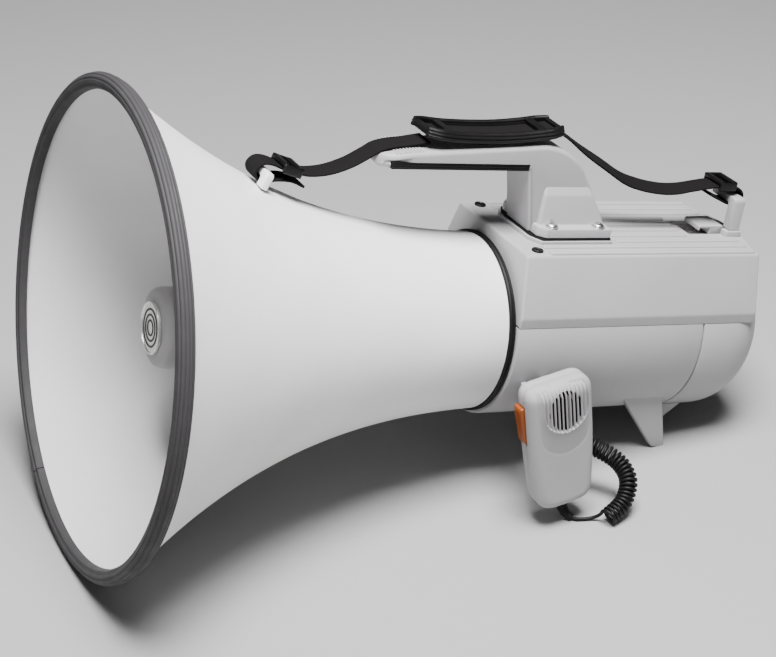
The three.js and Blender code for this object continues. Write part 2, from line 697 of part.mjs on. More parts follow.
function handsetOutline(inset) {
  const { halfWidth, halfBottom, halfLength } = HANDSET;
  return rounded([
    [inset - halfWidth, halfLength - inset, 9], [halfWidth - inset, halfLength - inset, 9],
    [halfWidth - inset, 0, 16], [halfBottom - inset, inset - halfLength, 12],
    [inset - halfBottom, inset - halfLength, 12], [inset - halfWidth, 0, 16],
  ]);
}

function buttonWindow() {
  const { backX, frontX, lowZ, highZ } = TALK_BUTTON;
  return box(backX - 0.4, frontX + 0.4, -30, 4 - HANDSET.halfWidth, lowZ - 0.4, highZ + 0.4);
}

function handsetFront() {
  const { halfDepth, wall } = HANDSET;
  const cavity = extrudeX(handsetOutline(wall), -2, halfDepth - wall);
  const shell = cut(extrudeX(handsetOutline(0), -1, halfDepth), cavity);
  const { y, z, halfWidth, halfHeight, pitch, slot } = GRILLE;
  const slots = [-4, -3, -2, -1, 0, 1, 2, 3, 4].map((i) => {
    const half = halfHeight * Math.sqrt(1 - ((i * pitch) / halfWidth) ** 2);
    const middle = y + i * pitch;
    return box(halfDepth - 5, halfDepth + 1, middle - slot / 2, middle + slot / 2, z - half, z + half);
  });
  return part('handset_front', cut(shell, buttonWindow(), ...slots), HOUSING_GREY);
}

function handsetRear() {
  const { halfDepth, wall } = HANDSET;
  const cavity = extrudeX(handsetOutline(wall), wall - halfDepth, 0);
  const shell = cut(extrudeX(handsetOutline(0), -halfDepth, -1.3), cavity, buttonWindow());
  const plateX = HANGER.faceX - HANGER.plate;
  const neck = rodX(3.5, plateX - 1, 1 - halfDepth).translate(0, 0, STUD_Z);
  const head = rodX(6.5, plateX - 2.8, plateX - GAP, 20).translate(0, 0, STUD_Z);
  return part('handset_rear', join(shell, neck, head), HOUSING_GREY);
}

function micCapsule() {
  return part('mic_capsule', rodX(8.5, 2.5, 9.5, 24).translate(0, GRILLE.y, GRILLE.z), DARK_STEEL);
}

// The talk bar rocks on its lower end, so its pivot is at its foot.
function talkButton() {
  const { backX, frontX, lowZ, highZ } = TALK_BUTTON;
  const side = -HANDSET.halfWidth;
  const outline = rounded([
    [side - 2.6, highZ, 1.5], [side - 1, lowZ, 1.2], [side + 3.4, lowZ], [side + 3.4, highZ],
  ]);
  return part('ptt_button', extrudeX(outline, backX, frontX), ORANGE_PLASTIC);
}

function cordRelief() {
  const low = -HANDSET.halfLength - GAP;
  return part('cord_relief', rodZ(2.4, low - RELIEF_LENGTH, low, 16, 3.6), BLACK_RUBBER);
}

function handset() {
  const group = new THREE.Group();
  group.position.copy(HANDSET_CENTRE);
  group.rotation.x = HANDSET_TILT;
  group.add(handsetFront(), handsetRear(), micCapsule(), talkButton(), cordRelief());
  return group;
}

// The bracket the handset's stud drops into, drawn in the handset's frame and trimmed to the housing.
function handsetHanger() {
  const { faceX, backX, plate, leftY, rightY, lowZ, highZ, wall } = HANGER;
  const outline = (inset, frontX) => polygon([
    [frontX, leftY + inset], [-22, leftY + inset], [backX, inset - 1],
    [backX, rightY - inset], [frontX, rightY - inset],
  ]);
  const block = cut(
    extrudeZ(outline(0, faceX), lowZ, highZ),
    extrudeZ(outline(wall, faceX - plate), lowZ + wall, highZ + 1),
    box(faceX - plate - 1, faceX + 1, -3.9, 3.9, STUD_Z, highZ + 1),
    rodX(3.9, faceX - plate - 1, faceX + 1).translate(0, 0, STUD_Z),
  );
  const onHorn = block.rotateX(HANDSET_TILT).translate(...HANDSET_CENTRE.toArray());
  return part('handset_hanger', cut(onHorn, rodY(HOUSING_RADIUS + 0.35, 220, 300, 48)), HOUSING_GREY);
}

// ---------------------------------------------------------------- cord

function cordGland() {
  const sleeve = rodZ(4.2, 2, GLAND_LENGTH, 16, 2.8);
  const mesh = part('cord_gland', join(rodZ(6, 0.4, 3, 16), sleeve), BLACK_RUBBER);
  mesh.rotation.y = Math.PI / 2 - GLAND_ANGLE;
  const [across, up] = [Math.cos(GLAND_ANGLE), Math.sin(GLAND_ANGLE)];
  return placed(mesh, HOUSING_RADIUS * across, GLAND_Y, HOUSING_RADIUS * up);
}

const COIL_ROUTE = [
  [60.5, 292, -49.5], [70, 302, -53], [82, 311.5, -56], [91, 314.8, -60], [98, 314.2, -65.5],
  [103.5, 309, -74], [107, 298, -81.2],
].map((point) => new THREE.Vector3(...point));

function cordTailAtBody() {
  const reach = HOUSING_RADIUS + GLAND_LENGTH + GAP;
  const start = [reach * Math.cos(GLAND_ANGLE), GLAND_Y, reach * Math.sin(GLAND_ANGLE)];
  const points = [start, [53.2, 286.6, -45], [57, 289, -47.8], [60.2, 291.7, -49.4]]
    .map((point) => new THREE.Vector3(...point));
  return part('cord_body_tail', tube(points, CORD_RADIUS, 6, 8), BLACK_RUBBER);
}

function cordCoil() {
  return part('cord_coil', tube(COIL_ROUTE, COIL_RADIUS, 14, 12), BLACK_RUBBER);
}

function cordTailAtHandset() {
  const points = [
    [88.5, 277.2, -84.5], [89.2, 278.2, -87.2], [92.3, 281.2, -88.4], [96.6, 285, -87.6],
    [101, 289, -86], [104.9, 293.2, -84], [107.1, 297.2, -81.8],
  ].map((point) => new THREE.Vector3(...point));
  return part('cord_handset_tail', tube(points, CORD_RADIUS, 12, 8), BLACK_RUBBER);
}

// ---------------------------------------------------------------- shoulder strap

const FRONT_STRAP = [
  [188, 115.4], [176, 113.3], [166, 112], [158, 109.8], [152, 106], [141.5, 99.9], [129.5, 95.6],
  [118, 94.2], [109, 95.4], [100, 97.9], [93, 100.4], [87.2, 100.6], [83.6, 97.2], [84.2, 93],
  [88.2, 90.3], [97, 91.2], [106, 90.6], [114, 87.4],
];
const REAR_STRAP = [
  [275, 122.4], [283, 118.4], [297, 109.9], [313, 101.4], [329, 92.9], [342, 88.9], [355, 86.6], [367, 86],
  [378, 87.2], [389, 89], [398, 90.1], [410, 90], [416.2, 87.6], [418.4, 83.3], [416, 79], [408.8, 78.2],
  [401, 80.4], [393, 82],
];

function strap(name, path, steps) {
  const outline = band(path, STRAP_THICKNESS, steps);
  return part(name, extrudeX(outline, -STRAP_WIDTH / 2, STRAP_WIDTH / 2), BLACK_WEBBING);
}

function shoulderPad() {
  const underside = [[183.5, 119.2], [204, 117.3], [231, 117.2], [252, 118.8], [274, 122]];
  const path = underside.map(([y, z]) => [y, z + 3]);
  return part('shoulder_pad', extrudeX(band(path, 6, 8), -14, 14), BLACK_PLASTIC);
}

// A three-bar slider: the outer bars lie over the webbing and the middle bar between its two layers.
function triGlide(name, y, z, slope) {
  const inner = STRAP_WIDTH / 2 + 0.5;
  const rails = [-1, 1].map((side) => {
    const x = side * (inner + 1.1);
    return box(x - 1.1, x + 1.1, -5.8, 5.8, -2.6, 3.4);
  });
  const bars = [-4.5, 4.5].map((at) => box(-inner - 1, inner + 1, at - 1.3, at + 1.3, 1.3, 3.4));
  const middle = box(-inner - 1, inner + 1, -1.6, 1.6, -2.6, -1.3);
  const mesh = part(name, join(...rails, ...bars, middle), BLACK_PLASTIC);
  mesh.rotation.x = slope;
  return placed(mesh, 0, y, z);
}

// ---------------------------------------------------------------- assembly

const horn = new THREE.Group();
horn.add(
  hornBell(), rimEdging(), hornBackPlate(), throatTube(), reflectorCup(), badgeDisc(), neckRing(),
  driverFrontPlate(), driverMagnet(), driverDiaphragm(), frontStrapHook(),
);

const housing = new THREE.Group();
housing.add(
  upperHousing(), lowerHousing(), foot('foot_left', -1), foot('foot_right', 1), rearDoor(), hingePin(),
  doorLatch(), latchFloor(), rearStrapHook(), batteryTray(), batteryLid(), ...batteryCells(),
  amplifierBoard(), heatsink(), controls(), handsetHanger(),
);

const carrying = new THREE.Group();
carrying.add(
  handle(), gripInsert(), handleGasket(), ...handleScrews(), ...housingScrews(),
  strap('strap_front', FRONT_STRAP, 44), strap('strap_rear', REAR_STRAP, 44), shoulderPad(),
  triGlide('tri_glide_front', 104.5, 96.6, -0.29), triGlide('tri_glide_rear', 404, 90.3, 0),
);

const cord = new THREE.Group();
cord.add(cordGland(), cordTailAtBody(), cordCoil(), cordTailAtHandset());

const hungHandset = handset();
const pitched = new THREE.Group();
pitched.rotation.x = -STAND_TILT;
pitched.add(horn, housing, carrying, hungHandset, cord);

// The origin is under the middle of everything but the cord, on the plane the megaphone stands on.
const megaphone = new THREE.Group();
megaphone.add(pitched);
megaphone.updateMatrixWorld(true);
const extent = new THREE.Box3();
[horn, housing, carrying, hungHandset].forEach((group) => extent.expandByObject(group, true));
pitched.position.set(0, -(extent.min.y + extent.max.y) / 2, -extent.min.z);

export default megaphone;
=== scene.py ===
"""The looks of a shoulder megaphone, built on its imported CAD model.

Shapes are drawn in millimetres in the horn's own frame, as in the CAD: the origin is the centre of
the mouth, +Y runs back along the horn, +X is the handset's side and +Z the handle's side. A place
matrix carries them to the row frame in metres.
"""
import json
from math import atan2, cos, hypot, pi, radians, sin, sqrt, tan

import bmesh
import bpy
from mathutils import Matrix, Vector

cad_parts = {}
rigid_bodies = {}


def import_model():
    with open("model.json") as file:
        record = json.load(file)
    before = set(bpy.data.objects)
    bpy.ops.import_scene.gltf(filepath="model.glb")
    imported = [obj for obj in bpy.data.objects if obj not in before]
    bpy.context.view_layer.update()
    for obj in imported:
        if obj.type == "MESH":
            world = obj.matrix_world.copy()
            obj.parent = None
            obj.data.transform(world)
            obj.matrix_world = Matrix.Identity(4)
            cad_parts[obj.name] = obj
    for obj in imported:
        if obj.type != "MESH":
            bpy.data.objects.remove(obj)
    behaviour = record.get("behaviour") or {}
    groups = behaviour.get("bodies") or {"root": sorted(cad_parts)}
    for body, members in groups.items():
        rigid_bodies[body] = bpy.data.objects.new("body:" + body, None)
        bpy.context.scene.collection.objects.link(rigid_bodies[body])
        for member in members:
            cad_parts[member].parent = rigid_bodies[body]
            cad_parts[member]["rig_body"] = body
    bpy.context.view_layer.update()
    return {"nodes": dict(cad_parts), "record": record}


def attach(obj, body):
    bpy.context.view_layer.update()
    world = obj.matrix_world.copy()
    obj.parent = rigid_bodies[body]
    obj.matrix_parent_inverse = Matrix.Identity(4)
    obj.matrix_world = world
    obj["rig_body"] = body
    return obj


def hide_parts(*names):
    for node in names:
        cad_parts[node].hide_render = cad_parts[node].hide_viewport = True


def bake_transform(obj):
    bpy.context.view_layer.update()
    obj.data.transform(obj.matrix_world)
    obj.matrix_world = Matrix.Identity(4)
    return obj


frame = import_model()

# ---------------------------------------------------------------- places

STAND_TILT = radians(10.6)
MOUTH_CENTRE = (0, -0.2011408, 0.1403511)  # in the row frame
HORN = (
    Matrix.Translation(MOUTH_CENTRE)
    @ Matrix.Rotation(-STAND_TILT, 4, "X")
    @ Matrix.Scale(0.001, 4)
)

HANDSET_TILT = radians(16.5)
HANDSET_CENTRE = Vector((88.5, 263.3, -37.6))
HANDSET = HORN @ Matrix.Translation(HANDSET_CENTRE) @ Matrix.Rotation(HANDSET_TILT, 4, "X")

TOP_Z = 60.2
TOP_HALF = 43.1
BEVEL_Z = 24.5
BEVEL_HALF = 54.6
PARTING_Z = 18.35
CONTROL_TURN = -atan2(TOP_Z - BEVEL_Z, BEVEL_HALF - TOP_HALF)
CONTROLS = (
    HORN
    @ Matrix.Translation((-(BEVEL_HALF + TOP_HALF) / 2, 0, (TOP_Z + BEVEL_Z) / 2))
    @ Matrix.Rotation(CONTROL_TURN, 4, "Y")
)

KNOB = CONTROLS @ Matrix.Translation((0, 335, 0))
SWITCH = CONTROLS @ Matrix.Translation((0, 297, 0))
JACK = CONTROLS @ Matrix.Translation((0, 372, 0))

# ---------------------------------------------------------------- dimensions, in millimetres

FLARE_NECK = 53.3
FLARE_RISE = 90
FLARE_LENGTH = 265
FLARE_POWER = 2.4
HORN_WALL = 2.2
HORN_FRONT_Y = 6.3
HORN_BACK_Y = 238.5
RIM_RADIUS = 141.2
RIM_SEAM_ANGLE = radians(244)

HOUSING_RADIUS = 57
HOUSING_FRONT_Y = 243
UPPER_BACK_Y = 413.5
DOOR_SEAM_Y = 376
DOOR_BACK_Y = 431.5
DOOR_FILLET = 32.5
SHELL_WALL = 2.5
HINGE_Y = 376.9
HINGE_Z = -63

CORD_DIAMETER = 2.2
COIL_RADIUS = 4.6  # of the wire's centreline

STRAP_WIDTH = 15


# ---------------------------------------------------------------- shapes: vertices and faces


def smooth_path(points, count):
    """count points along a smooth curve through the given points, evenly spread."""
    points = [Vector(p) for p in points]
    ends = [points[0] * 2 - points[1]] + points + [points[-1] * 2 - points[-2]]
    dense = []
    for i in range(1, len(ends) - 2):
        a, b, c, d = ends[i - 1 : i + 3]
        for k in range(24):
            t = k / 24
            dense.append(
                0.5
                * (2 * b + (c - a) * t + (2 * a - 5 * b + 4 * c - d) * t**2
                   + (3 * b - a - 3 * c + d) * t**3)
            )
    dense.append(points[-1])
    return evenly(dense, count)


def evenly(line, count):
    """count points at even distances along a polyline."""
    reach = [0.0]
    for a, b in zip(line, line[1:]):
        reach.append(reach[-1] + (b - a).length)
    found, k = [], 0
    for i in range(count):
        want = reach[-1] * i / (count - 1)
        while k < len(line) - 2 and reach[k + 1] < want:
            k += 1
        share = (want - reach[k]) / max(reach[k + 1] - reach[k], 1e-9)
        found.append(line[k].lerp(line[k + 1], min(share, 1)))
    return found


def rounded(corners, steps=5):
    """A closed outline from (u, v, size) corners: size is how far back each corner is rounded."""
    outline = []
    for i, corner in enumerate(corners):
        here = Vector(corner[:2])
        size = corner[2] if len(corner) > 2 else 0
        if not size:
            outline.append(here)
            continue
        before, after = (
            here + (Vector(corners[(i + step) % len(corners)][:2]) - here).normalized() * size
            for step in (-1, 1)
        )
        for k in range(steps + 1):
            t = k / steps
            outline.append(before * (1 - t) ** 2 + here * 2 * t * (1 - t) + after * t**2)
    return outline


def rectangle(u0, u1, v0, v1, low, high=None, steps=3):
    """A rectangle whose lower and upper corners are rounded by low and high."""
    high = low if high is None else high
    return rounded([(u0, v0, low), (u1, v0, low), (u1, v1, high), (u0, v1, high)], steps)


def mirrored(corners):
    """Corners on the +u side, followed by their mirror images, so that they make a closed outline."""
    return list(corners) + [(-c[0], *c[1:]) for c in reversed(corners)]


def inset(outline, distance):
    """The outline moved inwards by distance."""
    count = len(outline)
    area = sum(a.x * b.y - b.x * a.y for a, b in zip(outline, outline[1:] + outline[:1]))
    inward = 1 if area > 0 else -1
    moved = []
    for i, here in enumerate(outline):
        back = (here - outline[i - 1]).normalized()
        on = (outline[(i + 1) % count] - here).normalized()
        normals = [Vector((-d.y, d.x)) * inward for d in (back, on)]
        mitre = normals[0] + normals[1]
        reach = max(mitre.length_squared / 2, 0.5)
        moved.append(here + mitre * (distance / reach))
    return moved


def upright(outline, axis, t):
    """An outline (u, v) as points in the plane across axis at t."""
    if axis == "X":
        return [Vector((t, p[0], p[1])) for p in outline]
    if axis == "Y":
        return [Vector((p[0], t, p[1])) for p in outline]
    return [Vector((p[0], p[1], t)) for p in outline]


def loft(rings):
    """Skins a list of rings, each with the same number of points, and closes both ends."""
    count = len(rings[0])
    verts = [p for ring in rings for p in ring]
    faces = []
    for r in range(len(rings) - 1):
        here, there = r * count, (r + 1) * count
        for i in range(count):
            j = (i + 1) % count
            faces.append((here + i, here + j, there + j, there + i))
    faces.append(tuple(range(count))[::-1])
    faces.append(tuple((len(rings) - 1) * count + i for i in range(count)))
    return verts, faces


def slab(outline, axis, t0, t1, edge0=0.8, edge1=None, steps=3):
    """An outline extruded from t0 to t1 with its two end edges rounded."""
    edge1 = edge0 if edge1 is None else edge1
    rings = []
    for k in range(steps + 1):
        turn = pi / 2 * k / steps
        if edge0 or k == steps:
            rings.append((edge0 * (1 - sin(turn)), t0 + edge0 * (1 - cos(turn))))
    for k in range(steps + 1):
        turn = pi / 2 * k / steps
        if edge1 or k == 0:
            rings.append((edge1 * (1 - cos(turn)), t1 - edge1 * (1 - sin(turn))))
    return loft([upright(inset(outline, d), axis, t) for d, t in rings])


def block(x0, x1, y0, y1, z0, z1, edge=0.6, corner=None):
    """A box with soft edges, its end faces across Z."""
    corner = edge if corner is None else corner
    return slab(rectangle(x0, x1, y0, y1, corner), "Z", z0, z1, edge)


def lathe(profile, segments, axis="Y"):
    """A (radius, height) profile turned about an axis. An end at radius 0 closes there."""
    verts, rows = [], []
    for radius, height in profile:
        if radius == 0:
            rows.append([len(verts)] * segments)
            verts.append(turned_point(0, height, 0, axis))
            continue
        rows.append(list(range(len(verts), len(verts) + segments)))
        for i in range(segments):
            verts.append(turned_point(radius, height, 2 * pi * i / segments, axis))
    faces = []
    loops = zip(rows, rows[1:])
    if profile[0][0] and profile[-1][0]:
        loops = zip(rows, rows[1:] + rows[:1])
    for a, b in loops:
        for i in range(segments):
            j = (i + 1) % segments
            face = []
            for v in (a[i], a[j], b[j], b[i]):
                if v not in face:
                    face.append(v)
            if len(face) > 2:
                faces.append(tuple(face))
    return verts, faces


def turned_point(radius, height, angle, axis):
    """The point at a radius and angle round an axis, and at a height along it."""
    u, v = radius * cos(angle), radius * sin(angle)
    return {"X": Vector((height, u, v)), "Y": Vector((u, height, v)), "Z": Vector((u, v, height))}[axis]


def soft_lathe(corners, segments, axis="Y"):
    """A turned shape from (radius, height, size) corners whose corners are rounded."""
    return lathe(rounded(corners, 4), segments, axis)


def moved(shape, matrix):
    """The shape, moved by a matrix."""
    return [matrix @ v for v in shape[0]], shape[1]


def joined(*shapes):
    """Several shapes as one."""
    verts, faces = [], []
    for part_verts, part_faces in shapes:
        start = len(verts)
        verts += part_verts
        faces += [tuple(start + i for i in face) for face in part_faces]
    return verts, faces


def strip(path, section, normals, twist=None):
    """Sweeps a section of (across, off the path) points along (y, z) points in the plane x = 0.

    twist gives the angle that the section is turned by at a share of the path's length.
    """
    rings = []
    for i, (here, normal) in enumerate(zip(path, normals)):
        turn = twist(i / (len(path) - 1)) if twist else 0
        ring = []
        for across, off in section:
            x = across * cos(turn) + off * sin(turn)
            away = off * cos(turn) - across * sin(turn)
            ring.append(Vector((x, here.x + normal.x * away, here.y + normal.y * away)))
        rings.append(ring)
    return loft(rings)


def path_normals(path):
    """Unit normals to a path of 2-D points."""
    found = []
    for i in range(len(path)):
        along = path[min(i + 1, len(path) - 1)] - path[max(i - 1, 0)]
        found.append(Vector((-along.y, along.x)).normalized())
    return found


def tube(path, radius, sides):
    """A round tube along 3-D points. radius is a number or one for each point."""
    radii = radius if isinstance(radius, list) else [radius] * len(path)
    rings = []
    side = None
    for i, here in enumerate(path):
        along = (path[min(i + 1, len(path) - 1)] - path[max(i - 1, 0)]).normalized()
        side = along.orthogonal() if side is None else side - along * side.dot(along)
        side.normalize()
        other = along.cross(side)
        turns = (2 * pi * k / sides for k in range(sides))
        rings.append([here + (side * cos(turn) + other * sin(turn)) * radii[i] for turn in turns])
    return loft(rings)


# ---------------------------------------------------------------- pieces

MATERIALS = {}
MERGE_DISTANCE = 2e-6  # in metres


def make_mesh(name, shape, place):
    """A shape as a mesh in the row frame."""
    mesh = bpy.data.meshes.new(name)
    mesh.from_pydata([place @ v for v in shape[0]], [], shape[1])
    return mesh


def clean(mesh, merge=0.0):
    """Joins points that are closer than merge and turns the normals outwards."""
    work = bmesh.new()
    work.from_mesh(mesh)
    if merge:
        bmesh.ops.remove_doubles(work, verts=work.verts, dist=merge)
    bmesh.ops.recalc_face_normals(work, faces=work.faces)
    work.to_mesh(mesh)
    work.free()


def soften(mesh, crease):
    """Smooth shading, with sharp edges where faces meet at more than crease degrees."""
    mesh.shade_smooth()
    mesh.set_sharp_from_angle(angle=radians(crease))


def piece(name, shape, finish, body="megaphone", place=HORN, replaces=(), crease=38):
    """A mesh piece, placed in the row frame and riding on a body."""
    mesh = make_mesh(name, shape, place)
    clean(mesh, MERGE_DISTANCE)
    mesh.materials.append(MATERIALS[finish])
    soften(mesh, crease)
    made = bpy.data.objects.new(name, mesh)
    bpy.context.scene.collection.objects.link(made)
    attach(made, body)
    if replaces:
        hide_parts(*replaces)
    return made


def carve(target, cutter_shape, place=HORN, crease=38):
    """Cuts a shape out of a piece."""
    mesh = make_mesh("cutter", cutter_shape, place)
    clean(mesh)
    cutter = bpy.data.objects.new("cutter", mesh)
    bpy.context.scene.collection.objects.link(cutter)
    step = target.modifiers.new("cut", "BOOLEAN")
    step.object = cutter
    step.operation = "DIFFERENCE"
    step.solver = "EXACT"
    step.use_self = True
    apply_modifiers(target)
    bpy.data.objects.remove(cutter)
    soften(target.data, crease)


def apply_modifiers(target):
    """Makes the modified mesh the object's own."""
    bpy.context.view_layer.update()
    graph = bpy.context.evaluated_depsgraph_get()
    result = bpy.data.meshes.new_from_object(target.evaluated_get(graph))
    target.modifiers.clear()
    target.data = result


# ---------------------------------------------------------------- materials


class Nodes:
    """A small helper to write a material's node tree. It lists the material in MATERIALS."""

    def __init__(self, name):
        self.material = bpy.data.materials.new(name)
        MATERIALS[name] = self.material
        self.material.use_nodes = True
        self.tree = self.material.node_tree
        self.shader = self.tree.nodes["Principled BSDF"]
        self.where = self.tree.nodes.new("ShaderNodeTexCoord").outputs["Object"]

    def add(self, kind, inputs=(), **settings):
        node = self.tree.nodes.new(kind)
        for key, value in settings.items():
            setattr(node, key, value)
        for key, value in dict(inputs).items():
            if isinstance(value, bpy.types.NodeSocket):
                self.tree.links.new(value, node.inputs[key])
            else:
                node.inputs[key].default_value = value
        return node

    def noise(self, scale, detail=2, where=None):
        inputs = {"Vector": where or self.where, "Scale": scale, "Detail": detail}
        return self.add("ShaderNodeTexNoise", inputs).outputs["Fac"]

    def math(self, operation, a, b=0.0):
        return self.add("ShaderNodeMath", {0: a, 1: b}, operation=operation).outputs[0]

    def remap(self, value, low, high, to_low, to_high):
        names = ("Value", "From Min", "From Max", "To Min", "To Max")
        inputs = dict(zip(names, (value, low, high, to_low, to_high)))
        return self.add("ShaderNodeMapRange", inputs).outputs["Result"]

    def mix(self, share, a, b):
        node = self.add("ShaderNodeMix", {"Factor": share}, data_type="RGBA")
        for socket, value in ((node.inputs[6], a), (node.inputs[7], b)):
            if isinstance(value, bpy.types.NodeSocket):
                self.tree.links.new(value, socket)
            else:
                socket.default_value = (*value, 1)
        return node.outputs[2]

    def bump(self, height, distance, strength):
        inputs = {"Height": height, "Distance": distance, "Strength": strength}
        return self.add("ShaderNodeBump", inputs).outputs["Normal"]

    def set(self, **inputs):
        for key, value in inputs.items():
            socket = self.shader.inputs[key.replace("_", " ")]
            if isinstance(value, bpy.types.NodeSocket):
                self.tree.links.new(value, socket)
            elif isinstance(value, tuple):
                socket.default_value = (*value, 1)
            else:
                socket.default_value = value


def shade(colour, factor):
    """The colour made lighter or darker."""
    return tuple(c * factor for c in colour)


def moulded(name, colour, roughness, grain=0.5, wear=0.3, shine=0.5):
    """Moulded plastic: spark-eroded grain, faint mottling, and edges rubbed a little lighter."""
    n = Nodes(name)
    mottle = n.noise(22, 4)
    base = n.mix(n.remap(mottle, 0.3, 0.7, 0, 1), shade(colour, 0.965), shade(colour, 1.03))
    dust = n.remap(n.noise(260, 3), 0.62, 0.8, 0, 0.35)
    base = n.mix(dust, base, shade(colour, 0.9))
    edge = n.add("ShaderNodeNewGeometry").outputs["Pointiness"]
    base = n.mix(n.remap(edge, 0.52, 0.6, 0, wear), base, shade(colour, 1.18))
    fine = n.noise(2600, 2)
    grainy = n.bump(fine, 0.00012, grain)
    rough = n.remap(n.noise(75, 3), 0.3, 0.7, roughness - 0.05, roughness + 0.05)
    n.set(Base_Color=base, Roughness=rough, Normal=grainy, Specular_IOR_Level=shine)


def rubber(name, colour, roughness):
    """Matt rubber with a bloom of dust in patches."""
    n = Nodes(name)
    bloom = n.remap(n.noise(140, 4), 0.45, 0.75, 0, 0.4)
    base = n.mix(bloom, colour, tuple(c * 1.25 + 0.003 for c in colour))
    fine = n.bump(n.noise(1900, 3), 0.0002, 0.5)
    rough = n.remap(n.noise(90, 2), 0.3, 0.7, roughness - 0.08, roughness + 0.06)
    n.set(Base_Color=base, Roughness=rough, Normal=fine, Specular_IOR_Level=0.22)


def metal(name, colour, roughness, brushed=0.3):
    """Metal with fine lines from drawing or turning, and small stains."""
    n = Nodes(name)
    stretch = n.add("ShaderNodeMapping", {"Vector": n.where, "Scale": (1, 0.06, 1)}).outputs[0]
    lines = n.noise(5200, 2, stretch)
    stain = n.remap(n.noise(300, 4), 0.5, 0.8, 0, 0.5)
    base = n.mix(stain, colour, shade(colour, 0.72))
    rough = n.remap(lines, 0.3, 0.7, roughness - 0.08, roughness + 0.1)
    fine = n.bump(lines, 0.00005, brushed)
    n.set(Base_Color=base, Roughness=rough, Normal=fine, Metallic=1.0)


def webbing(name, colour, pitch=1.1):
    """Woven webbing, from the strap's own UV map in millimetres: ribs across and a twill along. Its
    colour is painted darker in the weave's troughs and lighter on its crests, as painted shade and
    painted highlight.
    """
    n = Nodes(name)
    uv = n.add("ShaderNodeUVMap").outputs["UV"]
    split = n.add("ShaderNodeSeparateXYZ", {"Vector": uv})
    across, along = split.outputs["X"], split.outputs["Y"]
    row = n.math("MULTIPLY", along, 2 * pi / pitch)
    column = n.math("MULTIPLY", across, 2 * pi / (pitch * 0.9))
    slope = n.math("ADD", row, n.math("MULTIPLY", n.math("SINE", column), 1.1))
    weft = n.math("MULTIPLY_ADD", n.math("SINE", slope), 0.5)
    warp = n.math("ABSOLUTE", n.math("SINE", n.math("MULTIPLY", column, 0.5)))
    cloth = n.math("MULTIPLY_ADD", warp, 0.6)
    height = n.math("ADD", n.math("MULTIPLY", weft, 0.5), cloth)
    fuzz = n.noise(2400, 3)
    height = n.math("ADD", height, n.math("MULTIPLY", fuzz, 0.35))
    # painted shade in the weave's troughs and painted highlight on its crests, taken from the same height
    # as the bump
    painted_weave_shade = n.remap(height, 0.0, 1.3, 0, 1)
    base = n.mix(painted_weave_shade, shade(colour, 0.45), tuple(c * 1.9 + 0.0012 for c in colour))
    woven = n.bump(height, 0.00022, 0.8)
    n.set(Base_Color=base, Roughness=0.9, Normal=woven, Specular_IOR_Level=0.06)


def film(name, colour):
    """A thin plastic film, with slow changes of tint."""
    n = Nodes(name)
    base = n.mix(n.noise(90, 3), shade(colour, 0.8), shade(colour, 1.2))
    n.set(Base_Color=base, Roughness=0.3, Normal=n.bump(n.noise(900), 0.0001, 0.4))


moulded("white_shell", (0.82, 0.815, 0.815), 0.42, grain=0.3, wear=0.1)
moulded("housing_grey", (0.36, 0.35, 0.36), 0.5, grain=0.7, wear=0.2, shine=0.35)
rubber("rim_grey", (0.042, 0.040, 0.042), 0.6)
rubber("black_rubber", (0.003, 0.003, 0.003), 0.5)
moulded("black_plastic", (0.004, 0.0038, 0.004), 0.4, grain=0.8, wear=0.5, shine=0.25)
webbing("black_webbing", (0.004, 0.0036, 0.0038))
moulded("orange_plastic", (0.235, 0.052, 0.006), 0.42, grain=0.6, wear=0.3, shine=0.3)
metal("steel", (0.72, 0.71, 0.69), 0.28)
metal("dark_steel", (0.19, 0.185, 0.18), 0.42)
metal("magnet_iron", (0.08, 0.08, 0.085), 0.6)
metal("aluminium", (0.75, 0.76, 0.77), 0.34)
metal("badge_silver", (0.78, 0.78, 0.77), 0.32)
film("amber_film", (0.45, 0.2, 0.06))
moulded("cell_jacket", (0.05, 0.07, 0.13), 0.3, grain=0.1)
moulded("board_green", (0.03, 0.12, 0.05), 0.5, grain=0.3)


def paint_cad_nodes():
    """Gives the nodes that are shown as packed the same finishes as the new pieces."""
    for entry in frame["record"]["subparts"]:
        node = frame["nodes"][entry["node"]]
        mesh = node.data
        if not mesh.materials:
            mesh.materials.append(None)
        node.material_slots[0].link = "OBJECT"
        node.material_slots[0].material = MATERIALS[entry["material_slot"]]


# ---------------------------------------------------------------- camera


def make_camera():
    """The photograph's view: a long lens, from the front on the handset's side and above."""
    back = Vector((0.80110, -0.37869, 0.46351))
    up = Vector((-0.42213, 0.19154, 0.88607))
    right = up.cross(back).normalized()
    data = bpy.data.cameras.new("camera")
    data.lens = 88.56
    data.sensor_width = 36
    data.clip_start = 0.05
    data.clip_end = 50
    camera = bpy.data.objects.new("camera", data)
    bpy.context.scene.collection.objects.link(camera)
    turn = Matrix((right, back.cross(right).normalized(), back)).transposed().to_4x4()
    camera.matrix_world = Matrix.Translation((0.91058, -0.44789, 0.62812)) @ turn
    bpy.context.scene.camera = camera


make_camera()

# ---------------------------------------------------------------- cord

COIL_ROUTE = [
    (60.5, 292, -49.5), (70, 302, -53), (82, 311.5, -56), (91, 314.8, -60), (98, 314.2, -65.5),
    (103.5, 309, -74), (107, 298, -81.2),
]
GLAND_ANGLE = radians(-40)
GLAND_Y = 286
GLAND_TIP = (65.3 * cos(GLAND_ANGLE), GLAND_Y, 65.3 * sin(GLAND_ANGLE))
COIL_TURNS = 28.1
COIL_START_ANGLE = radians(105)
LOW_POINT = (95, 284, -88.1)
LOW_HEADING = (-0.67, -0.73, -0.05)
HANDSET_UP = Vector((0, -sin(HANDSET_TILT), cos(HANDSET_TILT)))
HANDSET_FOOT = HANDSET_CENTRE - HANDSET_UP * 42.3


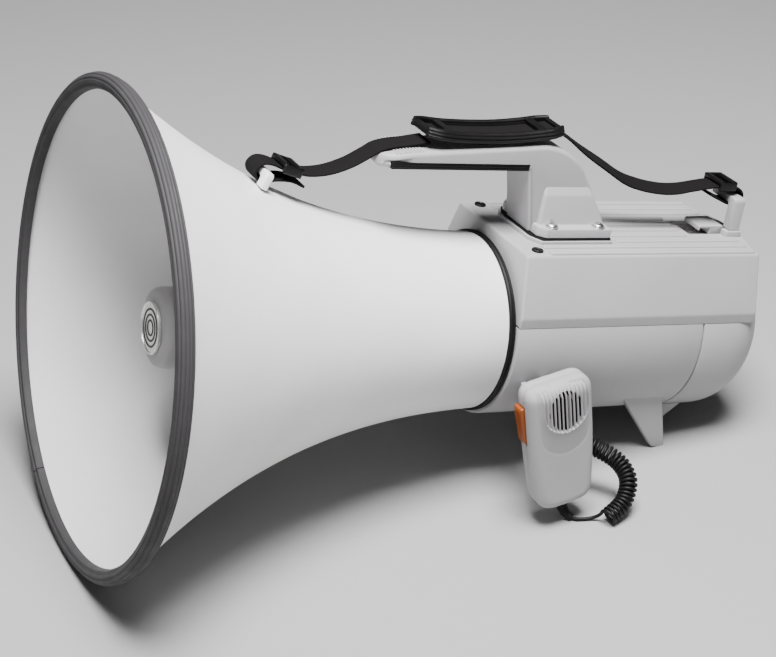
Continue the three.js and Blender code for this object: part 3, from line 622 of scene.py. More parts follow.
def coil_path():
    """A helix round the coil's route."""
    count = round(COIL_TURNS * 20) + 1
    spine = smooth_path(COIL_ROUTE, count)
    side = Vector((0, 0, 1))
    path = []
    for i, here in enumerate(spine):
        along = (spine[min(i + 1, count - 1)] - spine[max(i - 1, 0)]).normalized()
        side = (side - along * side.dot(along)).normalized()
        angle = COIL_START_ANGLE + 2 * pi * COIL_TURNS * i / (count - 1)
        path.append(here + (side * cos(angle) + along.cross(side) * sin(angle)) * COIL_RADIUS)
    return path


def bend(start, heading, end, arriving, reach):
    """A curve that leaves start on one heading and arrives at end on another."""
    count = 14
    a, d = Vector(start), Vector(end)
    b = a + Vector(heading).normalized() * reach[0]
    c = d - Vector(arriving).normalized() * reach[1]
    path = []
    for k in range(count + 1):
        t = k / count
        u = 1 - t
        path.append(a * u**3 + b * 3 * t * u**2 + c * 3 * t**2 * u + d * t**3)
    return path


def handset_tail():
    """From the low point of the cord up into the handset."""
    return bend(LOW_POINT, LOW_HEADING, HANDSET_FOOT, HANDSET_UP, (5, 7))


def gland():
    """The cord's way into the housing: a collar and a ribbed sleeve."""
    corners = [(0, 0.3), (6, 0.3), (6, 2.2, 0.8), (4.4, 2.8, 0.4)]
    for i in range(4):
        low, narrowing = 3 + i * 1.25, i * 0.25
        corners += [
            (4.1 - narrowing, low, 0.2),
            (4.1 - narrowing, low + 0.7, 0.2),
            (3.5 - narrowing, low + 0.9),
        ]
    corners += [(2.4, 8, 0.4), (0, 8)]
    sleeve = soft_lathe(corners, 40, "Z")
    spot = Vector((HOUSING_RADIUS * cos(GLAND_ANGLE), GLAND_Y, HOUSING_RADIUS * sin(GLAND_ANGLE)))
    place = HORN @ Matrix.Translation(spot) @ Matrix.Rotation(pi / 2 - GLAND_ANGLE, 4, "Y")
    return piece("gland", sleeve, "black_rubber", place=place, replaces=["cord_gland"])


def curly_cord():
    """The whole cord as one tube. It rides on no single body."""
    coil = coil_path()
    out_of_gland = (cos(GLAND_ANGLE), 0, sin(GLAND_ANGLE))
    start = bend(GLAND_TIP, out_of_gland, coil[0], coil[1] - coil[0], (3, 9))
    fall = bend(coil[-1], coil[-1] - coil[-2], LOW_POINT, LOW_HEADING, (8, 3))
    path = start[:-1] + coil + fall[1:] + handset_tail()[1:]
    cord = piece("cord", tube(path, CORD_DIAMETER / 2, 10), "black_rubber", crease=60)
    cord.parent = None
    del cord["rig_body"]
    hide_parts("cord_body_tail", "cord_coil", "cord_handset_tail")
    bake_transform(cord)
    gland()


curly_cord()

# ---------------------------------------------------------------- horn


def horn_radius(y):
    """The bell's outer radius at y, from a wide mouth to a narrow neck."""
    return FLARE_NECK + FLARE_RISE * (1 - y / FLARE_LENGTH) ** FLARE_POWER


def horn_slope(y):
    """How fast the bell's radius changes along y."""
    return -FLARE_RISE * FLARE_POWER / FLARE_LENGTH * (1 - y / FLARE_LENGTH) ** (FLARE_POWER - 1)


def horn_bell():
    """The flare: a thin wall whose stations crowd toward the mouth, and a turned-in neck."""
    steps = 60
    length = HORN_BACK_Y - HORN_FRONT_Y
    stations = [HORN_FRONT_Y + length * (i / steps) ** 1.25 for i in range(steps + 1)]
    outside = [(horn_radius(y), y) for y in stations]
    inside = [(horn_radius(y) - HORN_WALL * hypot(1, horn_slope(y)), y) for y in stations[:-1]]
    neck_y = HORN_BACK_Y - 2.5
    neck = [(46, HORN_BACK_Y), (46, neck_y), (horn_radius(HORN_BACK_Y) - HORN_WALL, neck_y)]
    shape = lathe(outside + neck + inside[::-1], 160)
    piece("horn_shell", shape, "white_shell", replaces=["horn_bell"], crease=50)


def rim_edging():
    """The rim's outer half is ribbed; the ribs run round it. One butt joint shows at the lower left."""
    front = [(131.6, 6), (131.6, 3.4), (132.6, 1.6)]
    ribs, steps = 6, 8
    start, sweep = radians(-115), radians(205)
    arc = []
    for i in range(ribs * steps + 1):
        turn = start + sweep * i / (ribs * steps)
        swell = 0.55 * abs(sin(pi * i / steps)) ** 0.6 - 0.35
        arc.append((136.4 + (4.4 + swell) * cos(turn), 5.1 + (4.6 + swell) * sin(turn)))
    edge = horn_radius(HORN_FRONT_Y) + 0.8
    back = [(edge, 9.8), (edge, 6)]
    profile = front + arc + back
    rim = piece("rim", lathe(profile, 192), "rim_grey", replaces=["rim_edging"], crease=50)
    seam = block(130, 143, -2, 11, -0.25, 0.25, 0)
    carve(rim, moved(seam, Matrix.Rotation(-RIM_SEAM_ANGLE, 4, "Y")), crease=50)


def reflector():
    """The cup that faces back into the horn, on three fins from the throat."""
    cup = soft_lathe([(0, 39), (23, 39, 6), (23, 150, 1), (21, 150), (21, 45, 3), (0, 41.2)], 64)
    fin = block(-1, 1, 90, 140, 12.8, 21.5, 0.3)
    fins = [moved(fin, Matrix.Rotation(i * 2 * pi / 3, 4, "Y")) for i in range(3)]
    piece("reflector", joined(cup, *fins), "housing_grey", replaces=["reflector_cup"])


horn_bell()
rim_edging()
reflector()


def badge():
    """A plain ringed disc in place of the badge that real ones carry."""
    face = 38.7
    step = face - 1.9
    low = face - 1.2
    disc = soft_lathe([
        (0, low), (13.6, low), (13.9, step, 0.3), (15, step, 0.4), (15, face), (0, face),
    ], 64)
    piece("badge_plate", disc, "badge_silver", replaces=["badge_disc"])
    ring_foot, ring_top = face - 1.25, face - 1.5
    for i, radius in enumerate((4.2, 7.4, 10.6)):
        ring = lathe([
            (radius - 0.7, ring_foot), (radius + 0.7, ring_foot),
            (radius + 0.5, ring_top), (radius - 0.5, ring_top),
        ], 64)
        piece(f"badge_ring_{i + 1}", ring, "black_plastic")


def throat():
    """The flared tube that brings the sound forward into the reflector."""
    shape = lathe([(8.5, 52), (11.4, 52), (12.4, 100), (12.4, 245.8), (9.5, 245.8), (9.5, 100)], 64)
    piece("throat", shape, "white_shell", replaces=["throat_tube"])


def neck_collar():
    """The rubber collar between horn and housing, with a moulded bead round its middle."""
    front, back = HORN_BACK_Y + 0.3, HOUSING_FRONT_Y - 0.3
    middle = (HORN_BACK_Y + HOUSING_FRONT_Y) / 2
    profile = soft_lathe([
        (47, front), (54.6, front, 0.6), (55.2, middle - 0.7, 0.3), (54.7, middle - 0.3),
        (54.7, middle + 0.3), (55.2, middle + 0.7, 0.3), (54.6, back, 0.6), (47, back),
    ], 128)
    piece("neck_collar", profile, "black_rubber", replaces=["neck_ring"])


def hook_shape(height, depth):
    """A strap hook seen along the horn: a post, and a bar across its top with a rounded corner."""
    inner, outer, bar_end, bar = 9, 14.5, -10.5, 4.5
    outline = rounded([
        (inner - 0.6, 0), (outer + 0.6, 0), (outer, height, 3), (bar_end, height, 1.6),
        (bar_end, height - bar, 1.2), (inner - 1, height - bar, 2),
    ])
    return slab(outline, "Y", -depth / 2, depth / 2, 0.8)


def front_hook():
    """The strap hook on the bell, square to the slope that it stands on."""
    y = 86
    foot = Matrix.Translation((0, y, horn_radius(y) + 0.4))
    lean = Matrix.Rotation(atan2(horn_slope(y), 1), 4, "X")
    piece("front_hook", hook_shape(9.6, 4.6), "white_shell", place=HORN @ foot @ lean,
          replaces=["front_strap_hook"])


badge()
throat()
neck_collar()
front_hook()

# ---------------------------------------------------------------- housing


def housing_outline(shrink=0.0):
    """The upper shell seen along the horn: upright sides, a bevel and a flat top."""
    return inset(rounded(mirrored([
        (53.9, PARTING_Z + 0.15), (BEVEL_HALF, BEVEL_Z, 1.2), (TOP_HALF, TOP_Z, 2.2),
    ]), 4), shrink)


def flared_box():
    """The upper shell's solid body: a front face that leans back a little, and soft edges all round."""
    edge, lean, steps = 1.6, 0.057, 4
    turns = [pi / 2 * k / steps for k in range(steps + 1)]
    rings = []
    for turn in turns:
        outline = housing_outline(edge * (1 - sin(turn)))
        front = HOUSING_FRONT_Y + edge * (1 - cos(turn))
        rings.append([Vector((p.x, front + max(p.y - PARTING_Z, 0) * lean, p.y)) for p in outline])
    for turn in turns:
        outline = housing_outline(edge * (1 - cos(turn)))
        rings.append(upright(outline, "Y", UPPER_BACK_Y - edge * (1 - sin(turn))))
    return loft(rings)


def upper_shell():
    """The flared box, with a bulge at the back, a plinth under the handle and a pad under the hook."""
    bulge = rounded(mirrored([(36, 405), (36, UPPER_BACK_Y - 0.6), (11, 421.3, 7)]))
    plinth = rounded(mirrored([(18.5, 259), (27.5, 264), (27.5, 314, 2)]))
    shape = joined(
        flared_box(),
        slab(bulge, "Z", TOP_Z - 3, TOP_Z, 0, 0.8),
        slab(plinth, "Z", TOP_Z - 1, 62.4, 0, 0.5),
        block(7, 16.5, 405.2, 417.4, TOP_Z - 1, 64, 0.8, 2),
    )
    shell = piece("housing_top", shape, "housing_grey", replaces=["upper_housing"])
    cavity = slab(housing_outline(SHELL_WALL), "Y", 248.2, 411, 0)
    latch_well = block(-11, 11, 381, 409, 50, 70, 0, 1.2)
    tongue_room = block(-31, 31, 405, 425, 10, 57.6, 0)
    neck_hole = lathe([(0, 240), (50, 240), (50, 262), (0, 262)], 64)
    for cutter in (cavity, latch_well, tongue_room, neck_hole):
        carve(shell, cutter)
    switch_well = slab(rectangle(-4.4, 4.4, -5.4, 11.6, 1, steps=5), "Z", -1.2, 3, 0)
    carve(shell, switch_well, place=SWITCH)


def rib(x, y0, y1):
    """A long bar moulded on the top, with a rounded crown and rounded ends."""
    half = 2.3
    outline = rectangle(x - half, x + half, y0, y1, 2.2, steps=4)
    return slab(outline, "Z", TOP_Z - 1, TOP_Z + 1.2, 0, 1.1, 4)


def top_ribs():
    """The same bars on each side: two along the whole top, one beside the latch, two before it."""
    front, handle_back, latch_front, back = 262, 319, 377, 411
    bars = []
    for side in (-1, 1):
        bars += [rib(side * x, front, back) for x in (31, 40)]
        bars += [rib(side * x, handle_back, latch_front) for x in (4.5, 13.5)]
        bars.append(rib(side * 22.3, handle_back, back))
    piece("top_ribs", joined(*bars), "housing_grey")


def lower_shell():
    """The half-round shell, with soft edges at the neck and at the door's seam."""
    inner = HOUSING_RADIUS - SHELL_WALL
    rings = []
    for y, shrink in ((243, 1.4), (243.4, 0.5), (244.4, 0), (374.6, 0), (375.2, 0.3), (375.5, 0.9)):
        outside = half_round(HOUSING_RADIUS - shrink, y)
        rings.append(outside + half_round(inner, y)[::-1])
    front = half_round(inner + 0.5, 244) + half_round(48, 244)[::-1]
    front_plate = loft([[Vector((p.x, y, p.z)) for p in front] for y in (243.1, 245.4)])
    shape = joined(loft(rings), front_plate)
    piece("housing_bottom", shape, "housing_grey", replaces=["lower_housing"])


def half_round(radius, y):
    """Points round the lower part of a circle, from the parting line on one side to the other."""
    top, steps = PARTING_Z - 0.25, 64
    first = atan2(top, sqrt(radius**2 - top**2))
    turns = (first - (pi + 2 * first) * k / steps for k in range(steps + 1))
    return [Vector((radius * cos(a), y, radius * sin(a))) for a in turns]


upper_shell()
top_ribs()
lower_shell()

# ---------------------------------------------------------------- rear door, feet and latch


def door_profile(shrink, seam_y):
    """The turned part of the door from its seam to the back, with its front edge softened."""
    fillet, rim = DOOR_FILLET - shrink, HOUSING_RADIUS - DOOR_FILLET
    steps = 16
    arc = []
    for k in range(steps + 1):
        turn = pi / 2 * k / steps
        arc.append((rim + fillet * cos(turn), DOOR_BACK_Y - DOOR_FILLET + fillet * sin(turn)))
    full = rim + fillet
    return [(full - 0.9, seam_y), (full - 0.3, seam_y + 0.25), (full, seam_y + 0.9), *arc]


def door_ledge():
    """The dome's flat roof behind the upper shell."""
    front = UPPER_BACK_Y + 0.4
    across = []
    for radius, y in door_profile(0, DOOR_SEAM_Y)[3:]:
        reach = radius - 1
        if y > front and reach > PARTING_Z:
            across.append((sqrt(reach**2 - PARTING_Z**2), y))
    outline = rounded(mirrored([(across[0][0], front), *across]))
    return slab(outline, "Z", PARTING_Z - 2.8, PARTING_Z - 0.25, 0)


def door_dome(seam):
    """The half dome that is the lower back of the housing, hollowed out and cut at the parting line."""
    outside = lathe([(0, seam), *door_profile(0, seam), (0, DOOR_BACK_Y)], 128)
    door = piece("door_shell", outside, "housing_grey", body="rear_door", replaces=["rear_door"])
    carve(door, block(-70, 70, 360, 450, PARTING_Z - 0.25, 90, 0))
    carve(door, lathe([
        (0, 340),
        (HOUSING_RADIUS - SHELL_WALL, 340),
        *door_profile(SHELL_WALL, seam)[2:],
        (0, DOOR_BACK_Y - SHELL_WALL),
    ], 96))


def door_tongue():
    """The tongue that runs up to the latch: a solid slab, and its inside cut away."""
    half = 30.6
    inner = half - SHELL_WALL
    outside = rounded([
        (411, 16), (411, 57.3, 0.6), (419.5, 57.3, 1.3), (421.5, 55.3, 1.3), (427.5, 38, 8),
        (431.2, 20, 3), (431.3, 16),
    ], 6)
    inside = rounded([
        (400, 0), (400, 54.8), (418.2, 54.8, 1), (424.9, 37.6, 6), (428.8, 16), (428.8, 0),
    ], 6)
    solid = slab(outside, "X", -half, half, 0.5)
    tongue = piece("door_tongue", solid, "housing_grey", body="rear_door")
    carve(tongue, slab(inside, "X", -inner, inner, 0))


def rear_door():
    """The door is a dome, the dome's flat roof, a tongue and two hinge ears."""
    door_dome(DOOR_SEAM_Y + 0.5)
    piece("door_ledge", door_ledge(), "housing_grey", body="rear_door")
    door_tongue()
    ears = [knuckle(side * 24, 376.95, 394) for side in (-1, 1)]
    piece("door_knuckles", joined(*ears), "housing_grey", body="rear_door")


def knuckle(x, seam_y, far_y):
    """A hinge ear: a drop of plastic from the shell round the pin."""
    toward = 1 if far_y > seam_y else -1
    radius, root_z = 4, -50
    outline = [Vector((far_y, root_z)), Vector((seam_y, root_z)), Vector((seam_y, HINGE_Z))]
    for k in range(9):
        turn = pi * 0.62 * k / 8
        outline.append(Vector((HINGE_Y + toward * radius * sin(turn), HINGE_Z - radius * cos(turn))))
    return slab(outline, "X", x - 4, x + 4, 0.5)


def hinge():
    """The housing's two ears, and the pin through all four."""
    ears = [knuckle(side * 13, 375.8, 364) for side in (-1, 1)]
    piece("housing_knuckles", joined(*ears), "housing_grey")
    pin = soft_lathe([(0, -29), (1.5, -29, 0.5), (1.5, 29, 0.5), (0, 29)], 24, "X")
    place = HORN @ Matrix.Translation((0, HINGE_Y, HINGE_Z))
    piece("hinge_pin", pin, "steel", place=place, replaces=["door_hinge_pin"])


def foot_blade(middle):
    """A blade that tapers from the housing to a rounded tip on the ground."""
    root_z, tip_z = -34, -73.2
    rings = []
    for share, soft_tip in ((0, 0), (0.25, 0), (0.5, 0), (0.75, 0), (0.95, 0), (0.985, 0.6), (1, 1.8)):
        z = root_z * (1 - share) + tip_z * share
        front = 335 + 34 * share + soft_tip
        back = 366 + 12.5 * share - soft_tip
        half = 3.6 - 1.1 * share - soft_tip / 3
        rings.append([
            Vector((middle + p.x, p.y, stand_height(p.y) if share == 1 else z))
            for p in rectangle(-half, half, front, back, 1.1)
        ])
    return loft(rings)


def feet():
    """Two blades. Their tips are level with the bottom of the rim."""
    for name, side in (("left", -1), ("right", 1)):
        piece(f"foot_blade_{name}", foot_blade(side * 40), "housing_grey", replaces=[f"foot_{name}"])


def stand_height(y):
    """The height of the ground at y, in the horn's frame."""
    return (y - 8.5) * tan(STAND_TILT) - RIM_RADIUS + 0.05


def latch():
    """A catch in a well with a metal floor: a thumb plate over the well, and a solid heel behind it."""
    outline = rounded([
        (390, 62.9, 0.3), (390, 64.5, 0.7), (408, 64.8, 1), (408, 58.9, 0.6), (398.5, 58.9, 0.6),
        (398.5, 62.9, 0.8),
    ])
    lip = block(-8.3, 8.3, 389.8, 391, 61.4, 64.3, 0.4, 0.5)
    catch = joined(slab(outline, "X", -8.5, 8.5, 0.5), lip)
    piece("latch_catch", catch, "housing_grey", body="door_latch", replaces=["door_latch"])
    floor_plate = block(-10.9, 10.9, 381.2, 408.8, 56.6, 57.8, 0.2)
    piece("latch_plate", floor_plate, "steel", replaces=["latch_floor"])


def rear_hook():
    """The tall strap hook behind the latch, with teeth up its post."""
    place = HORN @ Matrix.Translation((0, 411.8, 64.3))
    teeth = [block(8.2, 9.4, -4, 4, z, z + 0.9, 0.3) for z in (7, 9, 11, 13, 15)]
    shape = joined(hook_shape(20.7, 8.4), *teeth)
    piece("rear_hook", shape, "housing_grey", place=place, replaces=["rear_strap_hook"])


rear_door()
hinge()
feet()
latch()
rear_hook()

# ---------------------------------------------------------------- handle


def handle_side():
    """The grip and its pillar seen from the side, with points near the nose for its taper in plan."""
    pad_z = 101.6
    nose = [(y, pad_z) for y in (162, 165, 168)]
    return rounded([
        (312.5, 63.6), (312.5, 71, 2.5), (297, 94, 5), (287, 108.5, 9), (268, 117.8, 10),
        (231, 115.2, 12), (172, 111.2, 5), (166, 110.2), (163, 109.7), (156.4, 108.6, 3.2),
        (155.2, 101.2, 3.2), *nose, (252.9, pad_z), (261.5, 63.6),
    ], 8)


def bar_top(y):
    """The height of the grip's top at y, over its ridged front part."""
    bend_y, bend_z = 172, 111.2
    slope = 0.167 if y < bend_y else 0.068
    return bend_z + (y - bend_y) * slope


def nose_taper(y):
    """How much narrower the grip is at y, for a nose that is round in plan."""
    nose_back, nose_length = 168, 13.9
    return sqrt(1 - (max(0, nose_back - y) / nose_length) ** 2)


def grip():
    """The grip bar and its pillar in one: rounded flanks, and a nose that narrows in plan."""
    verts, faces = slab(handle_side(), "X", -15, 15, 2.8, steps=6)
    verts = [Vector((v.x * nose_taper(v.y), v.y, v.z)) for v in verts]
    body = piece("grip_bar", (verts, faces), "housing_grey", replaces=["handle"], crease=32)
    carve(body, block(-16, 16, 162, 252.8, 98, 105.8, 0), crease=32)
    ridges = []
    for y in range(165, 182, 2):
        half = 13.6 * nose_taper(y)
        ridges.append(block(-half, half, y, y + 1, 107, bar_top(y + 0.5) + 0.6, 0.35))
    piece("grip_ridges", joined(*ridges), "housing_grey")


def boss_ring(half, front, back, z, cut):
    """The boss at one height: a rectangle whose two front corners are cut off."""
    side = [(half - cut, front, 0.8), (half, front + cut, 0.8), (half, back, 1.6)]
    return upright(rounded(mirrored(side), 4), "Z", z)


def handle_boss():
    """The screwed foot: a chamfered block round the pillar, on a flange."""
    flange = [
        (25.4, 263.1, 311.9, 63.6, 4.4),
        (26, 262.5, 312.5, 64.2, 4.6),
        (26, 262.5, 312.5, 68.2, 4.6),
        (25.7, 262.8, 312.2, 69.1, 4.5),
        (24.9, 263.6, 311.4, 69.5, 4.3),
    ]
    chamfered = [
        (18.6, 264.9, 311.0, 69.2, 0.9),
        (18.1, 265.2, 310.4, 70.6, 0.9),
        (17.8, 265.4, 300.2, 86.8, 0.9),
        (17.2, 265.7, 299.2, 88.2, 0.9),
        (14.7, 266.6, 296.6, 92.6, 0.6),
    ]
    shapes = [loft([boss_ring(*level) for level in levels]) for levels in (flange, chamfered)]
    piece("handle_boss", joined(*shapes), "housing_grey", crease=32)


def grip_pad():
    """The rubber under the grip, with two grooves along each side."""
    half, depth, reach = 14.7, 0.4, 0.3
    side = [(half, 101.5, 0.5)]
    for z in (103, 104.4):
        side += [(half, z - reach), (half - depth, z), (half, z + reach)]
    side.append((half, 105.5, 0.2))
    outline = rounded(mirrored(side), 3)
    piece("grip_pad", slab(outline, "Y", 162.4, 252.6, 0.3), "black_rubber", replaces=["grip_insert"])


def gasket():
    """The rubber sheet between the plinth and the boss."""
    outline = rounded(mirrored([(17.6, 260, 1), (26.6, 264.6, 1), (26.6, 313, 1.4)]), 3)
    piece("gasket", slab(outline, "Z", 62.5, 63.5, 0.2), "black_rubber", replaces=["handle_gasket"])


def pan_head(radius, height):
    """A screw's domed head."""
    return soft_lathe([
        (0, 0), (radius, 0, 0.1), (radius, height * 0.45, 0.6), (radius * 0.72, height, 1.1), (0, height),
    ], 32, "Z")


def carve_cross(head, blade, turn, place):
    """Cuts a cross recess: the blade at one turn, and square to it."""
    for angle in (turn, turn + pi / 2):
        carve(head, moved(blade, Matrix.Rotation(angle, 4, "Z")), place=place)


def screws():
    """Four screws with washers hold the boss, each left at a turn of its own."""
    head = pan_head(3.6, 2.2)
    washer = soft_lathe([(1.2, 0), (4.1, 0, 0.2), (4.1, 0.5, 0.2), (1.2, 0.5)], 32, "Z")
    blade = block(-2.2, 2.2, -0.5, 0.5, 0.9, 4, 0)
    spots = [(x, y) for x in (-21.8, 21.8) for y in (272, 304.5)]
    for i, (x, y) in enumerate(spots):
        turn = Matrix.Rotation(radians(20 + 37 * i), 4, "Z")
        place = HORN @ Matrix.Translation((x, y, 69.6)) @ turn
        screw = piece(f"screw_{i + 1}", joined(head, washer), "steel", place=place,
                      replaces=[f"handle_screw_{i + 1}"])
        carve_cross(screw, blade, 0, place)


def caps():
    """The black screws in the housing's front corners, each sunk in a small collar."""
    shape = soft_lathe([
        (0, 0), (3.6, 0), (3.6, 1.1, 0.5), (2.9, 1.3, 0.3), (2.4, 0.7, 0.3), (0, 0.7),
    ], 32, "Z")
    blade = block(-1.7, 1.7, -0.4, 0.4, 0.35, 3, 0)
    for name, side in (("left", -1), ("right", 1)):
        place = HORN @ Matrix.Translation((side * 36.2, 256, TOP_Z + 0.05))
        cap = piece(f"cap_{name}", shape, "black_plastic", place=place,
                    replaces=[f"housing_screw_{name}"])
        carve_cross(cap, blade, 0.4, place)


grip()
handle_boss()
grip_pad()
gasket()
screws()
caps()

# ---------------------------------------------------------------- handset, in its own frame

HANDSET_FACE = 9.6
HANDSET_SEAM = -1
HANDSET_SHOULDER = 7
GRID_HALF_HEIGHT = 41.98  # just inside the outline's ends, where its width is still more than nothing
GRILLE_X = 12.5
GRILLE_MIDDLE = 0.5
GRILLE_Z = 26.5
GRILLE_HALF = 14.8
GRILLE_FOOT_Z = 27.3
GRILLE_HOLE = 10.3
GRILLE_SQUASH = 0.85
RIB_PITCH = 2.45
SCOOP_HALF = 17
SCOOP_Z = 12.7


def handset_outline():
    """The handset seen from the front: nearly straight sides and a narrower foot."""
    return rounded([
        (-21, 42, 9), (21, 42, 9), (21, 0, 16), (18, -42, 12), (-18, -42, 12), (-21, 0, 16),
    ], 10)


def across_u(y, z, middle_z, half):
    """How far a point is outside an upright U with a round foot. Negative is inside."""
    if z >= middle_z:
        return abs(y - GRILLE_MIDDLE) - half
    return hypot(y - GRILLE_MIDDLE, z - middle_z) - half


def handset_height(y, z):
    """The height of the handset's face: flat, a scoop rising to the grille's bead, and the ribs."""
    scoop = -across_u(y, z, SCOOP_Z, SCOOP_HALF)
    if scoop <= 0:
        return HANDSET_FACE
    grille = across_u(y, z, GRILLE_FOOT_Z, GRILLE_HALF)
    if grille > 0:
        rise = (GRILLE_X - HANDSET_FACE) * (scoop / (scoop + grille))
        return HANDSET_FACE + rise - 0.5 * min(scoop, 1)
    if grille > -0.7:
        return GRILLE_X + 0.2
    rib = rib_wave(y)
    if rib < -0.1 and grille_distance(y, z) < GRILLE_HOLE:
        return GRILLE_X - 3.2
    return GRILLE_X - 0.8 + max(rib, -0.8)


def rib_wave(y):
    """1 on the crown of a rib in the grille, and -1 between two ribs."""
    return cos(2 * pi * (y - GRILLE_MIDDLE) / RIB_PITCH)


def grille_distance(y, z):
    """How far a point is from the middle of the grille's hole, which is a little taller than wide."""
    return hypot(y - GRILLE_MIDDLE, (z - GRILLE_Z) * GRILLE_SQUASH)


def edge_distance(y, z, outline):
    """The distance from a point inside an outline to its edge."""
    nearest = 1e9
    here = Vector((y, z))
    for a, b in zip(outline, outline[1:] + outline[:1]):
        span = b - a
        share = min(max((here - a).dot(span) / max(span.length_squared, 1e-9), 0), 1)
        nearest = min(nearest, (a + span * share - here).length)
    return nearest


def half_width_at(z, outline):
    """The outline's half width at a height."""
    widest = 0
    for a, b in zip(outline, outline[1:] + outline[:1]):
        if (a.y - z) * (b.y - z) <= 0 and a.y != b.y:
            share = (z - a.y) / (b.y - a.y)
            widest = max(widest, abs((a + (b - a) * share).x))
    return widest


def handset_grid(columns, rows):
    """The face as a fine grid of heights, its edge rounded back towards the seam.

    The rows crowd a little towards the top and the foot, where the edge curves most.
    """
    outline = handset_outline()
    verts = []
    for row in range(rows + 1):
        swing = -cos(pi * row / rows)
        z = GRID_HALF_HEIGHT * (0.35 * swing + 0.65 * (2 * row / rows - 1))
        half = half_width_at(z, outline)
        for column in range(columns + 1):
            y = half * (2 * column / columns - 1)
            depth = min(edge_distance(y, z, outline) / HANDSET_SHOULDER, 1)
            fall = HANDSET_SHOULDER * (1 - sqrt(max(1 - (1 - depth) ** 2, 0)))
            verts.append(Vector((handset_height(y, z) - fall, y, z)))
    width = columns + 1
    corners = (row * width + column for row in range(rows) for column in range(columns))
    faces = [(a, a + 1, a + width + 1, a + width) for a in corners]
    return verts, faces


def grid_edge(columns, rows):
    """The numbers of the grid's outer points, once round."""
    width = columns + 1
    bottom = list(range(width))
    right = [row * width + columns for row in range(1, rows)]
    top = [rows * width + column for column in range(columns, -1, -1)]
    left = [row * width for row in range(rows - 1, 0, -1)]
    return bottom + right + top + left


def handset_skin():
    """The grid, a skirt from its edge to the seam, and a flat closing face there."""
    columns, rows = 168, 150
    verts, faces = handset_grid(columns, rows)
    edge = grid_edge(columns, rows)
    count = len(edge)
    last = edge
    for sink, x in ((0, HANDSET_SEAM + 0.2), (0.2, HANDSET_SEAM)):
        ring = list(range(len(verts), len(verts) + count))
        for v in edge:
            out = Vector((0, verts[v].y, verts[v].z))
            verts.append(out * (1 - sink / max(out.length, 1)) + Vector((x, 0, 0)))
        for i in range(count):
            j = (i + 1) % count
            faces.append((last[i], last[j], ring[j], ring[i]))
        last = ring
    faces.append(tuple(last))
    return verts, faces


def handset_front():
    """The ribbed face. The troughs between the grille's ribs, inside its hole, are painted black: painted
    shade that stands for the dark inside the grille's slots.
    """
    shell = piece("handset_face", handset_skin(), "housing_grey", body="handset", place=HANDSET,
                  replaces=["handset_front"], crease=45)
    carve(shell, button_window(), place=HANDSET, crease=45)
    # a second, black slot for the trough floors inside the grille's hole: painted shade for the dark
    # inside its slots
    shell.data.materials.append(MATERIALS["black_plastic"])
    back = HANDSET.inverted()
    for face in shell.data.polygons:
        spot = back @ face.center
        in_hole = grille_distance(spot.y, spot.z) < GRILLE_HOLE + 0.4
        if in_hole and rib_wave(spot.y) < 0 and spot.x > 4:
            face.material_index = 1


def button_window():
    """The gap in the handset's side that the talk button swings in."""
    return block(-7.9, 1.6, -30, -15.2, 4.4, 30.4, 0)


def handset_back():
    """The rear half, with the headed stud that drops into the hanger and the collar for the cord."""
    body = slab(handset_outline(), "X", -12, HANDSET_SEAM - 0.05, 8, 0.15, 8)
    shell = piece("handset_shell", body, "housing_grey", body="handset", place=HANDSET,
                  replaces=["handset_rear"])
    carve(shell, button_window(), place=HANDSET)
    stud = soft_lathe([
        (0, -21, 0), (6.5, -21, 0.8), (6.5, -18.3, 0.5), (3.5, -18.3), (3.5, -11), (0, -11),
    ], 40, "X")
    stud_place = HANDSET @ Matrix.Translation((0, 0, 16))
    piece("handset_stud", stud, "housing_grey", body="handset", place=stud_place)
    collar = soft_lathe([(0, -43), (4.4, -43, 0.6), (5.2, -40), (0, -40)], 40, "Z")
    piece("handset_collar", collar, "housing_grey", body="handset", place=HANDSET)


def talk_button():
    """The orange bar: thicker at the top, where a few ridges cross it."""
    outline = rounded([
        (-23.6, 29.7, 1.6), (-23.4, 22, 2), (-22, 5, 1.4), (-17.8, 5), (-17.8, 29.7),
    ], 5)
    bar = slab(outline, "X", -7.4, 1.1, 1.1, 1.1, 4)
    ridge = block(-6.2, -0.1, -0.35, 0.35, -0.4, 0.4, 0.25)
    ridges = [moved(ridge, Matrix.Translation((0, -23.55, z))) for z in (27.6, 25.8, 24)]
    piece("talk_bar", joined(bar, *ridges), "orange_plastic", body="ptt_button", place=HANDSET,
          replaces=["ptt_button"])


def relief():
    """The tapered bellows on the cord below the handset."""
    path = smooth_path(handset_tail()[::-1], 72)[:62]
    grooves = 9
    radii = []
    for i in range(len(path)):
        share = i / (len(path) - 1)
        groove = 0.32 * (0.5 + 0.5 * cos(2 * pi * share * grooves))
        radii.append(3.7 - 1.3 * share - groove)
    piece("cord_boot", tube(path, radii, 20), "black_rubber", body="handset",
          replaces=["cord_relief"], crease=60)


handset_front()
handset_back()
talk_button()
relief()

# ---------------------------------------------------------------- strap

WEB_THICKNESS = 1.5
FRONT_RUN = [
    (188, 115.4), (176, 113.3), (166, 112), (158, 109.8), (152, 106), (141.5, 99.9), (129.5, 95.6),
    (118, 94.2), (109, 95.4), (100, 97.9), (93, 100.4), (87.2, 100.6), (83.6, 97.2), (84.2, 93),
    (88.2, 90.3), (97, 91.2), (106, 90.6), (114, 87.4),
]
REAR_RUN = [
    (275, 122.4), (283, 118.4), (297, 109.9), (313, 101.4), (329, 92.9), (342, 88.9), (355, 86.6),
    (367, 86), (378, 87.2), (389, 89), (398, 90.1), (410, 90), (416.2, 87.6), (418.4, 83.3),
    (416, 79.4), (408.8, 79), (401, 81.8), (394, 84.6),
]
PAD_RUN = [(183.5, 119.2), (204, 117.3), (231, 117.2), (252, 118.8), (274, 122)]


